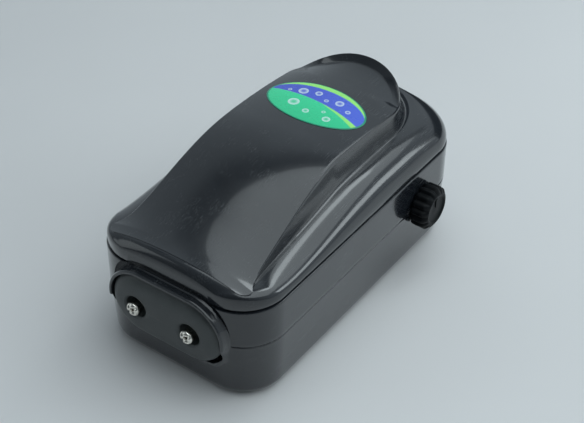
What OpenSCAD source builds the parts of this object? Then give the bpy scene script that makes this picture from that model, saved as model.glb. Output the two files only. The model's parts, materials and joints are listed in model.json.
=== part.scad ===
// Twin-outlet aquarium air pump: two electromagnet-driven diaphragms in a moulded casing.
// Frame: origin on the floor under the middle of the casing, +X towards the flow knob,
// -Y towards the air outlets, +Z up. All sizes are in millimetres.

/* [Casing] */
// Width of the casing at the parting seam
case_w = 80; // [79:0.5:82]
// Length of the casing at the parting seam
case_l = 148.4; // [147:0.2:150]
// Plan radius of the casing's corners
corner_r = 18.7; // [17.5:0.1:19.5]
// Height of the base's underside above the floor
base_z = 2; // [1.5:0.1:2.4]
// Height of the parting seam
seam_z = 27.7; // [27.4:0.1:28]
// Height of the shadow groove below the top cover
groove_z = 44.8; // [44:0.1:46]
// Thickness of the casing's walls
wall = 2.2; // [1.8:0.1:2.4]
// How far the base narrows towards its underside
draft = 1.2; // [0.8:0.1:1.4]
// Radius of the base's lower edge
base_edge_r = 3; // [2.5:0.1:3.5]

/* [Raised top] */
// Half-width of the raised top's parallel part
top_half_w = 26.3; // [25:0.1:27.5]
// Half-width of the raised top at its front corners
top_front_half_w = 33; // [32:0.1:33.5]
// Height of the front edge in the middle
front_top_z = 56; // [55:0.1:57]
// Height of the raised top's side edge at the front corner
front_edge_z = 51.7; // [51:0.1:52.5]
// Highest point on the raised top's side edge
peak_edge_z = 71.3; // [70:0.1:72]
// Highest point of the raised top's crown
peak_crown_z = 72.8; // [72:0.1:74]
// Highest line of the rounded shoulders beside the raised top
shoulder_z = 58.3; // [57:0.1:59]

/* [Air outlets] */
// Distance of each outlet from the centre plane
outlet_x = 12.9; // [12.5:0.1:13.5]
// Outer radius of the outlet nozzle that the airline pushes onto
nozzle_r = 2.6; // [2.5:0.05:2.7]
// Radius of the socket around each nozzle
socket_r = 4.6; // [4.4:0.1:4.8]
// Half-height of the outlet plate
plate_half_h = 14; // [13.5:0.1:14.2]
// Half-width of the outlet plate
plate_half_w = 26; // [25.5:0.1:26.4]
// How far the plate's face stands out of the casing's front
plate_proud = 4.6; // [4:0.1:5]

/* [Flow knob] */
// Position of the knob's axis along the casing
knob_y = 41; // [40:0.5:42]
// Height of the knob's axis
knob_z = 28.2; // [28:0.1:28.4]
// Outer radius of the knob's ribs
knob_r = 9.6; // [9:0.1:10]
// Number of grip ribs round the knob
knob_ribs = 16; // [14:1:20]
// Length of the knob along its axis
knob_len = 7.6; // [7:0.1:8.2]

/* [Pump mechanism] */
// Height of the diaphragms, magnets and electromagnet axis
drive_z = 29.4; // [29.2:0.1:29.6]
// Position of the diaphragms along the casing
diaphragm_y = 10; // [9:0.5:11]
// Position of the electromagnet along the casing
magnet_y = 46; // [46:0.5:47]
// Position of the swing arms' pivot pins along the casing
pivot_y = -22; // [-24:0.5:-20]
// Distance of the pivot pins from the centre plane
pivot_x = 25; // [24.8:0.1:25.2]
// Radius of each pivot pin
pin_r = 1.5; // [1.4:0.1:1.6]

/* [Hidden] */
$fn = 48;

// Casing outline: steps along each stretch of the right-hand half, front to rear
half_w = case_w / 2;
half_l = case_l / 2;
corner_x = half_w - corner_r;
corner_y = half_l - corner_r;
tail_y = 37;               // where the raised top starts to curve round its rear
lip_l = 23;                // length of the lip's curved rear
lip_power = 2.06;          // superellipse power of the lip's rear
foot_l = 35;               // length of the wall foot's curved rear
foot_power = 2.2;          // superellipse power of the wall foot's rear
foot_flare = 1.3;          // how far the wall's foot stands out beyond the lip
rim_y = 44;                // where the rear lip starts to turn up
rim_rise = 9.5;            // how far it turns up over the next 16 mm
top_front_y = -70;         // front edge of the raised top
top_front_r = 4.5;         // plan radius of its front corners
n_end = 5;
n_arc = 8;
n_side = 14;
n_tail = 5;
s_front = n_end;
s_side = s_front + n_arc;
s_tail = s_side + n_side;
s_rear = s_tail + n_tail;
s_back = s_rear + n_arc;
s_last = s_back + n_end;
cover_inset = 0.4;         // the top cover's inset from the band below the groove
groove_d = 0.9;            // depth of the groove
groove_h = 0.7;            // height of the groove
min_step = 0.5;            // smallest height of the raised top's side wall

// Heights and levels inside the casing
floor_z = base_z + 2.4;    // inside face of the base's floor
chassis_z = 8;             // underside of the chassis plate
chassis_t = 2.5;
deck_z = chassis_z + chassis_t;
arm_h = 12;                // height of the swing arms
arm_x = 23.7;              // inner face of each swing arm
arm_t = 2.5;               // thickness of each swing arm
arm_end_y = magnet_y + 11; // free end of each swing arm
strap_screw_y = 17.2;      // screws of the core strap, either side of the magnet's middle
chamber_x = 9.5;           // inner face of each air chamber
valve_x = 14.5;            // floor of the valve pockets
pump_x = 18;               // floor of the pumping cavity
rim_x = 20;                // face that the diaphragm's rim is clamped to
cup_r = 15;                // outer radius of chamber cup and diaphragm
flap_r = 3.2;
flap_t = 0.6;
inlet_y = diaphragm_y + 6;
outlet_y = diaphragm_y - 7;
plate_back_y = -66;        // rear face of the outlet plate
plate_wall_t = 2;          // thickness of the outlet plate's rear wall
plate_skin_y = -(half_l + plate_proud);
bushing_r = 3.4;
shaft_r = 3;
control_x = 28.8;          // inner face of the flow control's body
screw_at = [[30, 61.5], [-30, 61.5], [30, -61.5], [-30, -61.5]];
foot_at = [[0, 0], [29, 44], [-29, 44], [29, -44], [-29, -44]];
mount_at = [[27, 50], [-27, 50], [27, -12], [-27, -12]];
intake_y = -46;
intake_r = 11;
cord_x = -14;
cord_z = 12;
cord_r = 2.7;

function clamp01(t) = min(max(t, 0), 1);
function smooth(t) = let (c = clamp01(t)) c * c * (3 - 2 * c);
function lerp(a, b, t) = a + (b - a) * t;

// ---- Casing surface -------------------------------------------------------

// Point i on the right half of the casing's outline, moved inwards by d
function outer_pt(i, d = 0) =
    let (r = corner_r - d)
    i <= s_front ? [corner_x * i / n_end, d - half_l]
    : i <= s_side ? let (a = 90 * (i - s_front) / n_arc - 90)
        [corner_x + r * cos(a), r * sin(a) - corner_y]
    : i <= s_tail ? [half_w - d, lerp(-corner_y, tail_y, (i - s_side) / n_side)]
    : i <= s_rear ? [half_w - d, lerp(tail_y, corner_y, (i - s_tail) / n_tail)]
    : i <= s_back ? let (a = 90 * (i - s_rear) / n_arc)
        [corner_x + r * cos(a), corner_y + r * sin(a)]
    : [corner_x * (s_last - i) / n_end, half_l - d];

// Half-width of the raised top at y, ahead of its tail
function top_w(y) =
    let (front = top_front_half_w - top_half_w, start = top_front_y + top_front_r)
    top_half_w + 0.55 * front * clamp01((-4 - y) / (-4 - start))
        + 0.45 * front * exp((start - y) / 4);

// Point i on the right half of a raised outline: flare is how far its sides stand out beyond
// the lip, and l and power set its curved rear
function raised_pt(i, flare, l, power) =
    let (r = top_front_r, cx = top_front_half_w - r, cy = top_front_y + r)
    i <= s_front ? [cx * i / n_end, top_front_y]
    : i <= s_side ? let (a = 90 * (i - s_front) / n_arc - 90) [cx + r * cos(a), cy + r * sin(a)]
    : i <= s_tail ? let (y = lerp(cy, tail_y, (i - s_side) / n_side))
        [top_w(y) + flare * smooth((y - cy) / 60), y]
    : let (a = 90 * (i - s_tail) / (s_last - s_tail), e = 2 / power)
        [(top_half_w + flare) * pow(cos(a), e), tail_y + l * pow(sin(a), e)];
// The lip of the raised top, and the foot of its wall
function top_pt(i) = raised_pt(i, 0, lip_l, lip_power);
function foot_pt(i) = raised_pt(i, foot_flare, foot_l, foot_power);

// Distance across the raised top, 0 on its spine and 1 on its lip
function across(x, y) =
    y <= tail_y ? abs(x) / top_w(y)
    : pow(pow(abs(x) / top_half_w, lip_power) + pow((y - tail_y) / lip_l, lip_power),
          1 / lip_power);

// Heights of the raised top's side edge and of its spine
function edge_z(y) =
    y < 0 ? lerp(front_edge_z, peak_edge_z, smooth(pow(clamp01(y / 70 + 1), 0.85)))
    : peak_edge_z - 0.0016 * y * y;
function spine_z(y) =
    y < 0 ? lerp(front_top_z, peak_crown_z, smooth(pow(clamp01(y / 72 + 1), 0.9)))
    : peak_crown_z - 0.0012 * y * y;
// Crowned surface, and the same surface with its turned-up rear lip
function crown_z(p) =
    lerp(spine_z(p.y), edge_z(p.y), pow(min(across(p.x, p.y), 1), 2.5));
function top_z(p) =
    crown_z(p) + rim_rise * pow(max((p.y - rim_y) / 16, 0), 1.5)
        * pow(clamp01((across(p.x, p.y) - 0.75) / 0.25), 2);

// Height of the wall's foot: the highest line of the shoulder at point i
function foot_z(i) =
    let (y = foot_pt(i).y, edge = top_z(top_pt(i)) - min_step)
    i <= s_side ? edge
    : min(edge, 52 + (shoulder_z - 52) * smooth((y + 62) / 75) - smooth((y - 30) / 35));

// Height at which the shoulder starts to lean inwards
function lean_z(i) =
    lerp(groove_z + groove_h, i < s_tail ? 50.5 : 48,
         i < s_tail ? 1 - smooth((i - s_front) / n_arc) : smooth((i - s_rear) / n_arc));

function inward(i) = let (d = foot_pt(i) - outer_pt(i)) d / norm(d);
function at(p, z) = [p.x, p.y, z];
function mirrored(ring) =
    concat(ring, [for (i = [s_last - 1:-1:1]) [-ring[i].x, ring[i].y, ring[i].z]]);

// Point i of the shoulder at angle a, of the hollow wall at angle a, and of the top;
// t moves the shoulder inwards
function shoulder_pt(i, a, t) =
    let (p0 = outer_pt(i, cover_inset + t), p1 = foot_pt(i) + inward(i) * t)
    at(lerp(p0, p1, 1 - cos(a)), lerp(lean_z(i), foot_z(i) - t, sin(a)));
function wall_pt(i, a) =
    at(lerp(foot_pt(i), top_pt(i), sin(a)), lerp(foot_z(i), top_z(top_pt(i)), 1 - cos(a)));
function inner_loop_pt(i) =
    let (a = 180 * i / s_last) [4 * sin(a), -6 - 50 * cos(a)];
function crown_plan(i, f, t) = lerp(top_pt(i) + inward(i) * t, inner_loop_pt(i), f);
function crown_pt(i, f) = let (p = crown_plan(i, f, 0)) at(p, top_z(p));
function ceiling_pt(i, f) = let (p = crown_plan(i, f, wall)) at(p, crown_z(p) - wall);

// Joins a stack of closed rings into one solid, with a flat lower cap
// and a ladder of triangles across the last ring
module ring_stack(rings) {
    n = 2 * s_last;
    last = (len(rings) - 1) * n;
    sides = [for (k = [0:len(rings) - 2], i = [0:n - 1])
        let (a = k * n + i, b = k * n + (i + 1) % n)
        each [[a, b + n, b], [a, a + n, b + n]]];
    ladder = [for (i = [0:s_last - 1])
        let (r0 = last + i, r1 = r0 + 1, l0 = last + (n - i) % n, l1 = last + n - i - 1)
        each concat(i > 0 ? [[r0, l0, r1]] : [], i < s_last - 1 ? [[l0, l1, r1]] : [])];
    lower = [[for (i = [0:n - 1]) i]];
    polyhedron([for (ring = rings) each ring], concat(lower, sides, ladder), convexity = 8);
}

function band(d, z) = mirrored([for (i = [0:s_last]) at(outer_pt(i, d), z)]);

// Outside of the upper shell
module upper_outside() {
    ring_stack(concat(
        [band(0, seam_z), band(0, groove_z), band(groove_d, groove_z + 0.1),
         band(groove_d, groove_z + groove_h - 0.1)],
        [for (a = [0:11.25:90]) mirrored([for (i = [0:s_last]) shoulder_pt(i, a, 0)])],
        [for (a = [30:20:70]) mirrored([for (i = [0:s_last]) wall_pt(i, a)])],
        [for (f = [0, 0.1, 0.2, 0.35, 0.6, 1]) mirrored([for (i = [0:s_last]) crown_pt(i, f)])]
    ));
}

// Space inside the upper shell
module upper_inside() {
    ring_stack(concat(
        [band(wall, seam_z - 1), band(wall, groove_z - 2), band(wall + groove_d, groove_z)],
        [for (a = [0:22.5:90]) mirrored([for (i = [0:s_last]) shoulder_pt(i, a, wall)])],
        [for (f = [0, 0.4, 0.7, 1]) mirrored([for (i = [0:s_last]) ceiling_pt(i, f)])]
    ));
}

// Outside of the base, and the space inside it
module base_outside() {
    ring_stack(concat(
        [for (a = [0:30:90])
            band(draft + base_edge_r * (1 - sin(a)), base_z + base_edge_r * (1 - cos(a)))],
        [band(0, seam_z)]
    ));
}
module base_inside() {
    ring_stack([band(draft + wall + 1, floor_z), band(draft + wall, floor_z + 1),
                band(wall, seam_z + 1)]);
}

// ---- Shared shapes --------------------------------------------------------

// Stadium in the XZ plane, centred on the outlets, from y0 back to y1
module stadium(half_len, half_h, y0, y1) {
    translate([0, y1, drive_z]) rotate([90, 0, 0]) linear_extrude(y1 - y0) {
        square([2 * (half_len - half_h), 2 * half_h], center = true);
        for (s = [-1, 1]) translate([s * (half_len - half_h), 0]) circle(half_h);
    }
}
// Cylinder along X from x0 to x1
module rod_x(r, x0, x1, y, z) {
    translate([x0, y, z]) rotate([0, 90, 0]) cylinder(r = r, h = x1 - x0);
}
// Cylinder along Y from y0 to y1
module rod_y(r, y0, y1, x, z) {
    translate([x, y1, z]) rotate([90, 0, 0]) cylinder(r = r, h = y1 - y0);
}
// Upright cylinder from z0 to z1
module post(r, z0, z1, p) {
    translate([p.x, p.y, z0]) cylinder(r = r, h = z1 - z0);
}
// Block between two opposite corners
module block(a, b) {
    translate(a) cube(b - a);
}
// Copies the right-hand shape to the named side
module on_side(side) {
    mirror([side == "left" ? 1 : 0, 0, 0]) children();
}
// Pan-head screw standing on a face at z0, shank pointing down
module pan_screw(p, z0, shank, r = 1.5) {
    post(2 * r, z0, z0 + 2, p);
    post(r, z0 - shank, z0, p);
}

// ---- Casing ---------------------------------------------------------------

collar_t = 1.5;            // thickness of the rim round the outlet plate
collar_proud = 3;          // how far the upper rim stands out
cradle_proud = 1.2;        // how far the base's rim stands out
fit_gap = 0.1;             // gap round the outlet plate

module upper_shell() {
    color("#23282c") resize([0, 0, 0]) difference() {
        union() {
            difference() {
                upper_outside();
                upper_inside();
                // sunk arch above the outlet plate
                intersection() {
                    stadium(29.2, 19.4, -half_l - 1, -half_l + 1.2);
                    block([-half_w, -half_l - 1, seam_z - 1], [half_w, -half_l + 3, 60]);
                }
            }
            // thicker front wall behind the sunk arch
            block([-26.5, -half_l + 1.2, seam_z], [26.5, -half_l + 3.4, drive_z + 20]);
            intersection() {
                stadium(plate_half_w + fit_gap + collar_t, plate_half_h + fit_gap + collar_t,
                        -half_l - collar_proud, -half_l + 3);
                block([-half_w, -half_l - 9, seam_z], [half_w, 0, 60]);
            }
            // screw bosses, up to the underside of the cover
            for (p = screw_at) intersection() {
                post(3.6, seam_z, seam_z + 27, p);
                translate([0, 0, -1]) upper_outside();
            }
        }
        stadium(plate_half_w + fit_gap, plate_half_h + fit_gap, -half_l - 9, -half_l + 6);
        for (p = screw_at) post(1.2, seam_z - 1, seam_z + 14, p, $fn = 24);
        rod_x(bushing_r + 0.1, half_w - 8, half_w + 1, knob_y, knob_z);
    }
}

module base_shell() {
    color("#262b2f") resize([0, 0, 0]) difference() {
        union() {
            difference() {
                base_outside();
                base_inside();
            }
            // front wall behind the cradle of the outlet plate
            intersection() {
                base_outside();
                block([-31, -half_l, base_z], [31, -half_l + 4, seam_z]);
            }
            intersection() {
                stadium(plate_half_w + fit_gap + collar_t, plate_half_h + fit_gap + collar_t,
                        -half_l - cradle_proud, -half_l + 3);
                block([-half_w, -half_l - 9, 0], [half_w, 0, seam_z]);
            }
            for (p = screw_at) post(4.2, base_z + 1, seam_z, p);
            for (p = foot_at) post(7, base_z + 1, base_z + 3.4, p);
            for (p = mount_at) post(4, base_z + 1, floor_z + 1.1, p);
            post(intake_r + 1.5, base_z + 1, 8, [0, intake_y]);
            for (s = [-1, 1])
                block([s * 25 - 2.5, 66, floor_z - 1], [s * 25 + 2.5, 71, 25]);
        }
        stadium(plate_half_w + fit_gap, plate_half_h + fit_gap, -half_l - 9, -half_l + 6);
        for (p = screw_at) {
            post(1.6, base_z - 1, seam_z + 1, p, $fn = 24);
            post(3.1, base_z - 1, base_z + 8, p, $fn = 24);
        }
        for (p = foot_at) post(5.6, base_z - 1, base_z + 1.5, p);
        for (p = mount_at) post(1.2, floor_z - 1, 12, p, $fn = 24);
        post(intake_r, base_z - 1, 12, [0, intake_y]);
        rod_x(bushing_r + 0.1, half_w - 8, half_w + 1, knob_y, knob_z);
        rod_y(4.1, half_l - 12, half_l + 2, cord_x, cord_z);
        // slots for the control board
        block([-24, 67.9, 20], [24, 69.7, 26]);
    }
}

// Soft-edged stadium plate with two sockets
module outlet_plate() {
    edge_r = 3.5;
    depth = plate_back_y - plate_skin_y;
    skin = concat([[0, 0], [plate_half_h, 0]],
        [for (a = [0:15:90])
            [plate_half_h - edge_r * (1 - cos(a)), depth - 1 - edge_r * (1 - sin(a))]],
        [[plate_half_h / 2, depth - 0.25], [0, depth]]);
    run = plate_half_w - plate_half_h;
    color("#2b2e30") difference() {
        translate([0, plate_back_y, drive_z]) rotate([90, 0, 0]) {
            for (s = [-1, 1]) translate([s * run, 0]) rotate_extrude($fn = 64) polygon(skin);
            translate([-run, 0, 0]) rotate([90, 0, 90]) linear_extrude(2 * run)
                polygon(concat(skin, [for (i = [len(skin) - 2:-1:1]) [-skin[i].x, skin[i].y]]));
        }
        for (s = [-1, 1]) {
            rod_y(socket_r, plate_skin_y - 2, plate_back_y - plate_wall_t, s * outlet_x, drive_z);
            rod_y(nozzle_r + 0.05, plate_skin_y, plate_back_y + 1, s * outlet_x, drive_z);
        }
    }
}

// Hollow metal spigot: airline outside, seat ring, threaded part and hose tail
module nozzle(side) {
    tip = half_l + 6.8;
    seat = -(plate_back_y - plate_wall_t);
    tail = -plate_back_y - 3;
    color("#b9bcb6") on_side(side) translate([outlet_x, 0, drive_z]) rotate([90, 0, 0])
        rotate_extrude() polygon(concat(
            [[1.3, tail - 8], [2, tail - 8], [2, tail], [nozzle_r, tail], [nozzle_r, seat],
             [4.3, seat], [4.3, seat + 1.5], [nozzle_r, seat + 1.5]],
            [for (a = [0:22.5:90]) [nozzle_r - 0.7 * (1 - cos(a)), tip - 0.7 * (1 - sin(a))]],
            [[1.3, tip - 0.4]]));
}
module nozzle_left() { nozzle("left"); }
module nozzle_right() { nozzle("right"); }

module nozzle_nuts() {
    color("#c9c7b8") for (s = [-1, 1]) difference() {
        translate([s * outlet_x, plate_back_y + 2.5, drive_z]) rotate([90, 0, 0])
            cylinder(r = 4.6, h = 2.5, $fn = 6);
        rod_y(nozzle_r, plate_back_y - 1, plate_back_y + 3, s * outlet_x, drive_z);
    }
}

// ---- Air path -------------------------------------------------------------

hose_front_y = plate_back_y + 4;
hose_rear_y = diaphragm_y - cup_r - 1;

module outlet_hose(side) {
    color("#d8dcd8") on_side(side) difference() {
        rod_y(3.3, hose_front_y, hose_rear_y, outlet_x, drive_z);
        rod_y(2, hose_front_y - 1, hose_rear_y + 1, outlet_x, drive_z);
    }
}
module outlet_hose_left() { outlet_hose("left"); }
module outlet_hose_right() { outlet_hose("right"); }

// Valve box with a round pumping cup on its outer face
module air_chamber(side) {
    y0 = diaphragm_y - cup_r;
    y1 = diaphragm_y + cup_r;
    color("#3a3f44") on_side(side) difference() {
        union() {
            block([chamber_x, y0, drive_z - 14], [16.5, y1, drive_z + 14]);
            rod_x(cup_r, 16, rim_x, diaphragm_y, drive_z);
            rod_y(2, y0 - 9, y0, outlet_x, drive_z);
            block([chamber_x, y1, drive_z - 14], [16.5, y1 + 6.5, drive_z - 11]);
            block([chamber_x, y0 - 6.5, drive_z - 14], [16.5, y0, drive_z - 11]);
        }
        rod_x(cup_r - 3.5, pump_x, rim_x + 1, diaphragm_y, drive_z);
        // outlet and inlet valve pockets, and the ports into the cup
        block([chamber_x - 1, y0 + 2.5, drive_z - 9], [valve_x, diaphragm_y - 1, drive_z + 9]);
        block([chamber_x - 1, diaphragm_y + 1, drive_z - 9], [valve_x, y1 - 2.5, drive_z + 9]);
        rod_x(1.6, valve_x - 1, pump_x + 1, outlet_y, drive_z, $fn = 24);
        rod_x(1.6, valve_x - 1, pump_x + 1, inlet_y, drive_z, $fn = 24);
        rod_y(1.3, y0 - 10, y0 + 3, outlet_x, drive_z, $fn = 24);
        // air intake into the inlet pocket
        post(1.6, drive_z + 8, drive_z + 15, [12, inlet_y], $fn = 24);
        for (y = [y0 - 3.5, y1 + 3.5]) post(1.6, 10, 20, [13, y], $fn = 24);
    }
}
module air_chamber_left() { air_chamber("left"); }
module air_chamber_right() { air_chamber("right"); }

module chamber_cover(side) {
    color("#4a5056") on_side(side)
        block([chamber_x - 2, diaphragm_y - cup_r, drive_z - 14],
              [chamber_x, diaphragm_y + cup_r, drive_z + 14]);
}
module chamber_cover_left() { chamber_cover("left"); }
module chamber_cover_right() { chamber_cover("right"); }

module inlet_flap(side) {
    color("#b0492f") on_side(side) rod_x(flap_r, pump_x, pump_x + flap_t, inlet_y, drive_z);
}
module inlet_flap_left() { inlet_flap("left"); }
module inlet_flap_right() { inlet_flap("right"); }

module outlet_flap(side) {
    color("#b0492f") on_side(side) rod_x(flap_r, valve_x - flap_t, valve_x, outlet_y, drive_z);
}
module outlet_flap_left() { outlet_flap("left"); }
module outlet_flap_right() { outlet_flap("right"); }

// Rubber diaphragm: clamped rim, one rolled fold and a thick hub
module diaphragm(side) {
    color("#1d1d1f") on_side(side) translate([rim_x, diaphragm_y, drive_z]) rotate([0, 90, 0])
        rotate_extrude() polygon(concat(
            [[1.5, 0.5], [5.5, 0.5]],
            [for (a = [180:-30:0]) [8.2 + 2 * cos(a), 1 + 1 * sin(a)]],
            [[10.2, 0], [cup_r, 0], [cup_r, 1], [11.2, 1]],
            [for (a = [30:30:150]) [8.2 + 3 * cos(a), 1 + 1.6 * sin(a)]],
            [[5.2, 3.7], [1.5, 3.7]]));
}
module diaphragm_left() { diaphragm("left"); }
module diaphragm_right() { diaphragm("right"); }

module clamp_ring(side) {
    color("#5a6066") on_side(side) difference() {
        rod_x(cup_r, rim_x + 1, rim_x + 2.4, diaphragm_y, drive_z);
        rod_x(11.6, rim_x, rim_x + 3, diaphragm_y, drive_z);
    }
}
module clamp_ring_left() { clamp_ring("left"); }
module clamp_ring_right() { clamp_ring("right"); }

// ---- Swing arms -----------------------------------------------------------

module swing_arm(side) {
    color("#6d7277") on_side(side) difference() {
        union() {
            block([arm_x, pivot_y, drive_z - arm_h / 2], [arm_x + arm_t, arm_end_y, drive_z + arm_h / 2]);
            post(4, drive_z - arm_h / 2, drive_z + arm_h / 2, [pivot_x, pivot_y]);
        }
        post(pin_r + 0.05, drive_z - arm_h, drive_z + arm_h, [pivot_x, pivot_y]);
        rod_x(1.5, arm_x - 1, arm_x + arm_t + 1, diaphragm_y, drive_z);
    }
}
module swing_arm_left() { swing_arm("left"); }
module swing_arm_right() { swing_arm("right"); }

module magnet(side) {
    color("#3b3b3d") on_side(side)
        block([arm_x - 4.5, magnet_y - 10, drive_z - arm_h / 2], [arm_x, magnet_y + 10, drive_z + arm_h / 2]);
}
module magnet_left() { magnet("left"); }
module magnet_right() { magnet("right"); }

module hub_screw(side) {
    color("#c4c8ca") on_side(side) {
        rod_x(3.4, rim_x - 0.5, rim_x + 0.5, diaphragm_y, drive_z);
        rod_x(1.5, rim_x, arm_x + arm_t + 2.6, diaphragm_y, drive_z);
    }
}
module hub_screw_left() { hub_screw("left"); }
module hub_screw_right() { hub_screw("right"); }

module hub_nut(side) {
    color("#c4c8ca") on_side(side) difference() {
        translate([arm_x + arm_t, diaphragm_y, drive_z]) rotate([0, 90, 0])
            cylinder(r = 3.2, h = 2.2, $fn = 6);
        rod_x(1.5, arm_x, arm_x + arm_t + 4, diaphragm_y, drive_z);
    }
}
module hub_nut_left() { hub_nut("left"); }
module hub_nut_right() { hub_nut("right"); }

module pivot_pin(side) {
    color("#d0d3d5") on_side(side) post(pin_r, deck_z + 2, drive_z + 12, [pivot_x, pivot_y]);
}
module pivot_pin_left() { pivot_pin("left"); }
module pivot_pin_right() { pivot_pin("right"); }

// ---- Chassis and electromagnet --------------------------------------------

// Plate with saddles for the chambers, pads for the magnet and forks for the pivots
module chassis() {
    color("#70767b") difference() {
        union() {
            block([-31, -33, chassis_z], [31, 55, deck_z]);
            block([-8, 50, chassis_z], [8, 67.5, deck_z]);
            block([-11, magnet_y - 12, chassis_z], [11, magnet_y + 12, drive_z - 13]);
            for (side = ["left", "right"]) on_side(side) {
                block([chamber_x, diaphragm_y - cup_r - 6.5, chassis_z],
                      [16, diaphragm_y + cup_r + 6.5, drive_z - 14]);
                post(4.5, chassis_z, drive_z - arm_h / 2 - 0.3, [pivot_x, pivot_y]);
                block([pivot_x - 4.5, pivot_y - 10, chassis_z],
                      [pivot_x + 4.5, pivot_y - 5, drive_z + 11]);
                block([pivot_x - 4.5, pivot_y - 10, drive_z + arm_h / 2 + 0.3],
                      [pivot_x + 4.5, pivot_y + 4, drive_z + 11]);
            }
        }
        for (side = ["left", "right"]) on_side(side) {
            post(pin_r, deck_z + 2, drive_z + 12, [pivot_x, pivot_y]);
            for (y = [diaphragm_y - cup_r - 3.5, diaphragm_y + cup_r + 3.5])
                post(1.5, chassis_z + 1, drive_z, [13, y]);
        }
        for (p = mount_at) post(1.6, 0, 20, p);
        for (s = [-1, 1]) post(1.5, 0, 20, [0, magnet_y + s * strap_screw_y]);
    }
}

module chassis_mounts() {
    color("#2a2a2c") for (p = mount_at) difference() {
        post(5, floor_z + 1.1, chassis_z, p);
        post(1.6, 0, 20, p);
    }
}
module chassis_screws() {
    color("#b9bdbf") for (p = mount_at) {
        post(3, deck_z, deck_z + 2, p);
        post(1.1, floor_z - 0.8, deck_z, p);
    }
}
module chamber_screws() {
    color("#b9bdbf") for (s = [-1, 1], y = [diaphragm_y - cup_r - 3.5, diaphragm_y + cup_r + 3.5])
        pan_screw([s * 13, y], drive_z - 11, 6);
}

// Laminated limb through the coil with a pole shoe at each end
module laminated_core() {
    sheets = 8;
    sheet_h = 2;
    color("#5d6165") translate([0, magnet_y, drive_z - sheets * sheet_h / 2])
        for (i = [0:sheets - 1]) translate([0, 0, i * sheet_h]) {
            if (i > 0 && i < sheets - 1) block([-13, -6, 0], [13, 6, sheet_h]);
            for (s = [-1, 1])
                block([s * 15 - 2, -14, 0], [s * 15 + 2, 14, sheet_h - (i < sheets - 1 ? 0 : 0.15)]);
        }
}

module coil_bobbin() {
    color("#e6e2d2") translate([0, magnet_y, drive_z]) difference() {
        union() {
            for (s = [-1, 1]) block([s * 12 - 1, -13, -13], [s * 12 + 1, 13, 13]);
            block([-12, -7.5, -7.5], [12, 7.5, 7.5]);
        }
        block([-14, -6, -6], [14, 6, 6]);
    }
}

// Copper winding with rounded corners
module coil_winding() {
    r = 4;
    out = 12.2;
    color("#b5602c") translate([-11, magnet_y, drive_z]) rotate([90, 0, 90])
        linear_extrude(22) difference() {
            union() {
                square([2 * out, 2 * (out - r)], center = true);
                square([2 * (out - r), 2 * out], center = true);
                for (x = [-1, 1], y = [-1, 1]) translate([x, y] * (out - r)) circle(r);
            }
            square(15, center = true);
        }
}

module core_strap() {
    z1 = drive_z + 13;
    color("#9aa0a4") translate([0, magnet_y, 0]) difference() {
        union() {
            block([-5, -14.2, z1], [5, 14.2, z1 + 1]);
            for (s = [-1, 1]) {
                block([-5, s * 13.7 - 0.5, deck_z], [5, s * 13.7 + 0.5, z1 + 1]);
                block([-5, s * 17.2 - 3.5, deck_z], [5, s * 17.2 + 3.5, deck_z + 1]);
            }
        }
        for (s = [-1, 1]) post(1.6, 0, 20, [0, s * strap_screw_y]);
    }
}
module strap_screws() {
    color("#b9bdbf") for (s = [-1, 1]) {
        p = [0, magnet_y + s * strap_screw_y];
        post(1.4, deck_z - 2, deck_z + 1, p);
        post(2.6, deck_z + 1, deck_z + 2.8, p);
    }
}

// ---- Electrics ------------------------------------------------------------

module control_board() {
    color("#2f6d3a") block([-24, 68, 20], [24, 69.6, 42]);
}
module film_capacitor() {
    color("#8b2b22") block([10, 62, 26], [22, 68, 37]);
}
module triac() {
    color("#2b2b2d") {
        block([-20, 63.4, 27], [-10, 67, 36]);
        block([-20, 67, 27], [-10, 68, 41]);
    }
}
module coil_leads() {
    color("#c33a30") for (s = [-1, 1]) rod_y(0.8, magnet_y + 12.2, 68, s * 8, drive_z + 4, $fn = 16);
}

// Rotary control: round body, threaded bushing and three terminals
module flow_control() {
    color("#8d9296") difference() {
        union() {
            rod_x(8, control_x, 35.6, knob_y, knob_z);
            rod_x(bushing_r, 35, half_w + 2.2, knob_y, knob_z);
            for (s = [-1, 0, 1])
                block([31.8, knob_y + 4 * s - 0.8, knob_z - 11], [32.6, knob_y + 4 * s + 0.8, knob_z - 5]);
        }
        rod_x(shaft_r + 0.05, control_x + 1.5, half_w + 3, knob_y, knob_z);
    }
}
module control_nut() {
    color("#b9bdbf") difference() {
        translate([half_w, knob_y, knob_z]) rotate([0, 90, 0]) cylinder(r = 5.7, h = 2, $fn = 6);
        rod_x(bushing_r, half_w - 1, half_w + 3, knob_y, knob_z);
    }
}
module control_shaft() {
    color("#c4c8ca") rod_x(shaft_r, control_x + 2, half_w + 0.6 + knob_len - 1.6, knob_y, knob_z);
}

// Ribbed knob with a stepped outer face, hollow over the nut
module flow_knob() {
    x0 = half_w + 0.6;
    x1 = x0 + knob_len;
    color("#17191a") difference() {
        union() {
            rod_x(knob_r, x0, x1 - 1.8, knob_y, knob_z);
            translate([x1 - 1.8, knob_y, knob_z]) rotate([0, 90, 0])
                cylinder(r1 = knob_r - 0.6, r2 = knob_r - 2.4, h = 1.8);
        }
        for (i = [0:knob_ribs - 1])
            translate([0, knob_y, knob_z]) rotate([i * 360 / knob_ribs, 0, 0])
                rod_x(1.1, x0 - 1, x1 + 1, knob_r + 0.3, 0, $fn = 20);
        rod_x(7, x0 - 1, x0 + 3, knob_y, knob_z);
        rod_x(shaft_r, x0 - 1, x1 - 1.6, knob_y, knob_z);
    }
}

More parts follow.
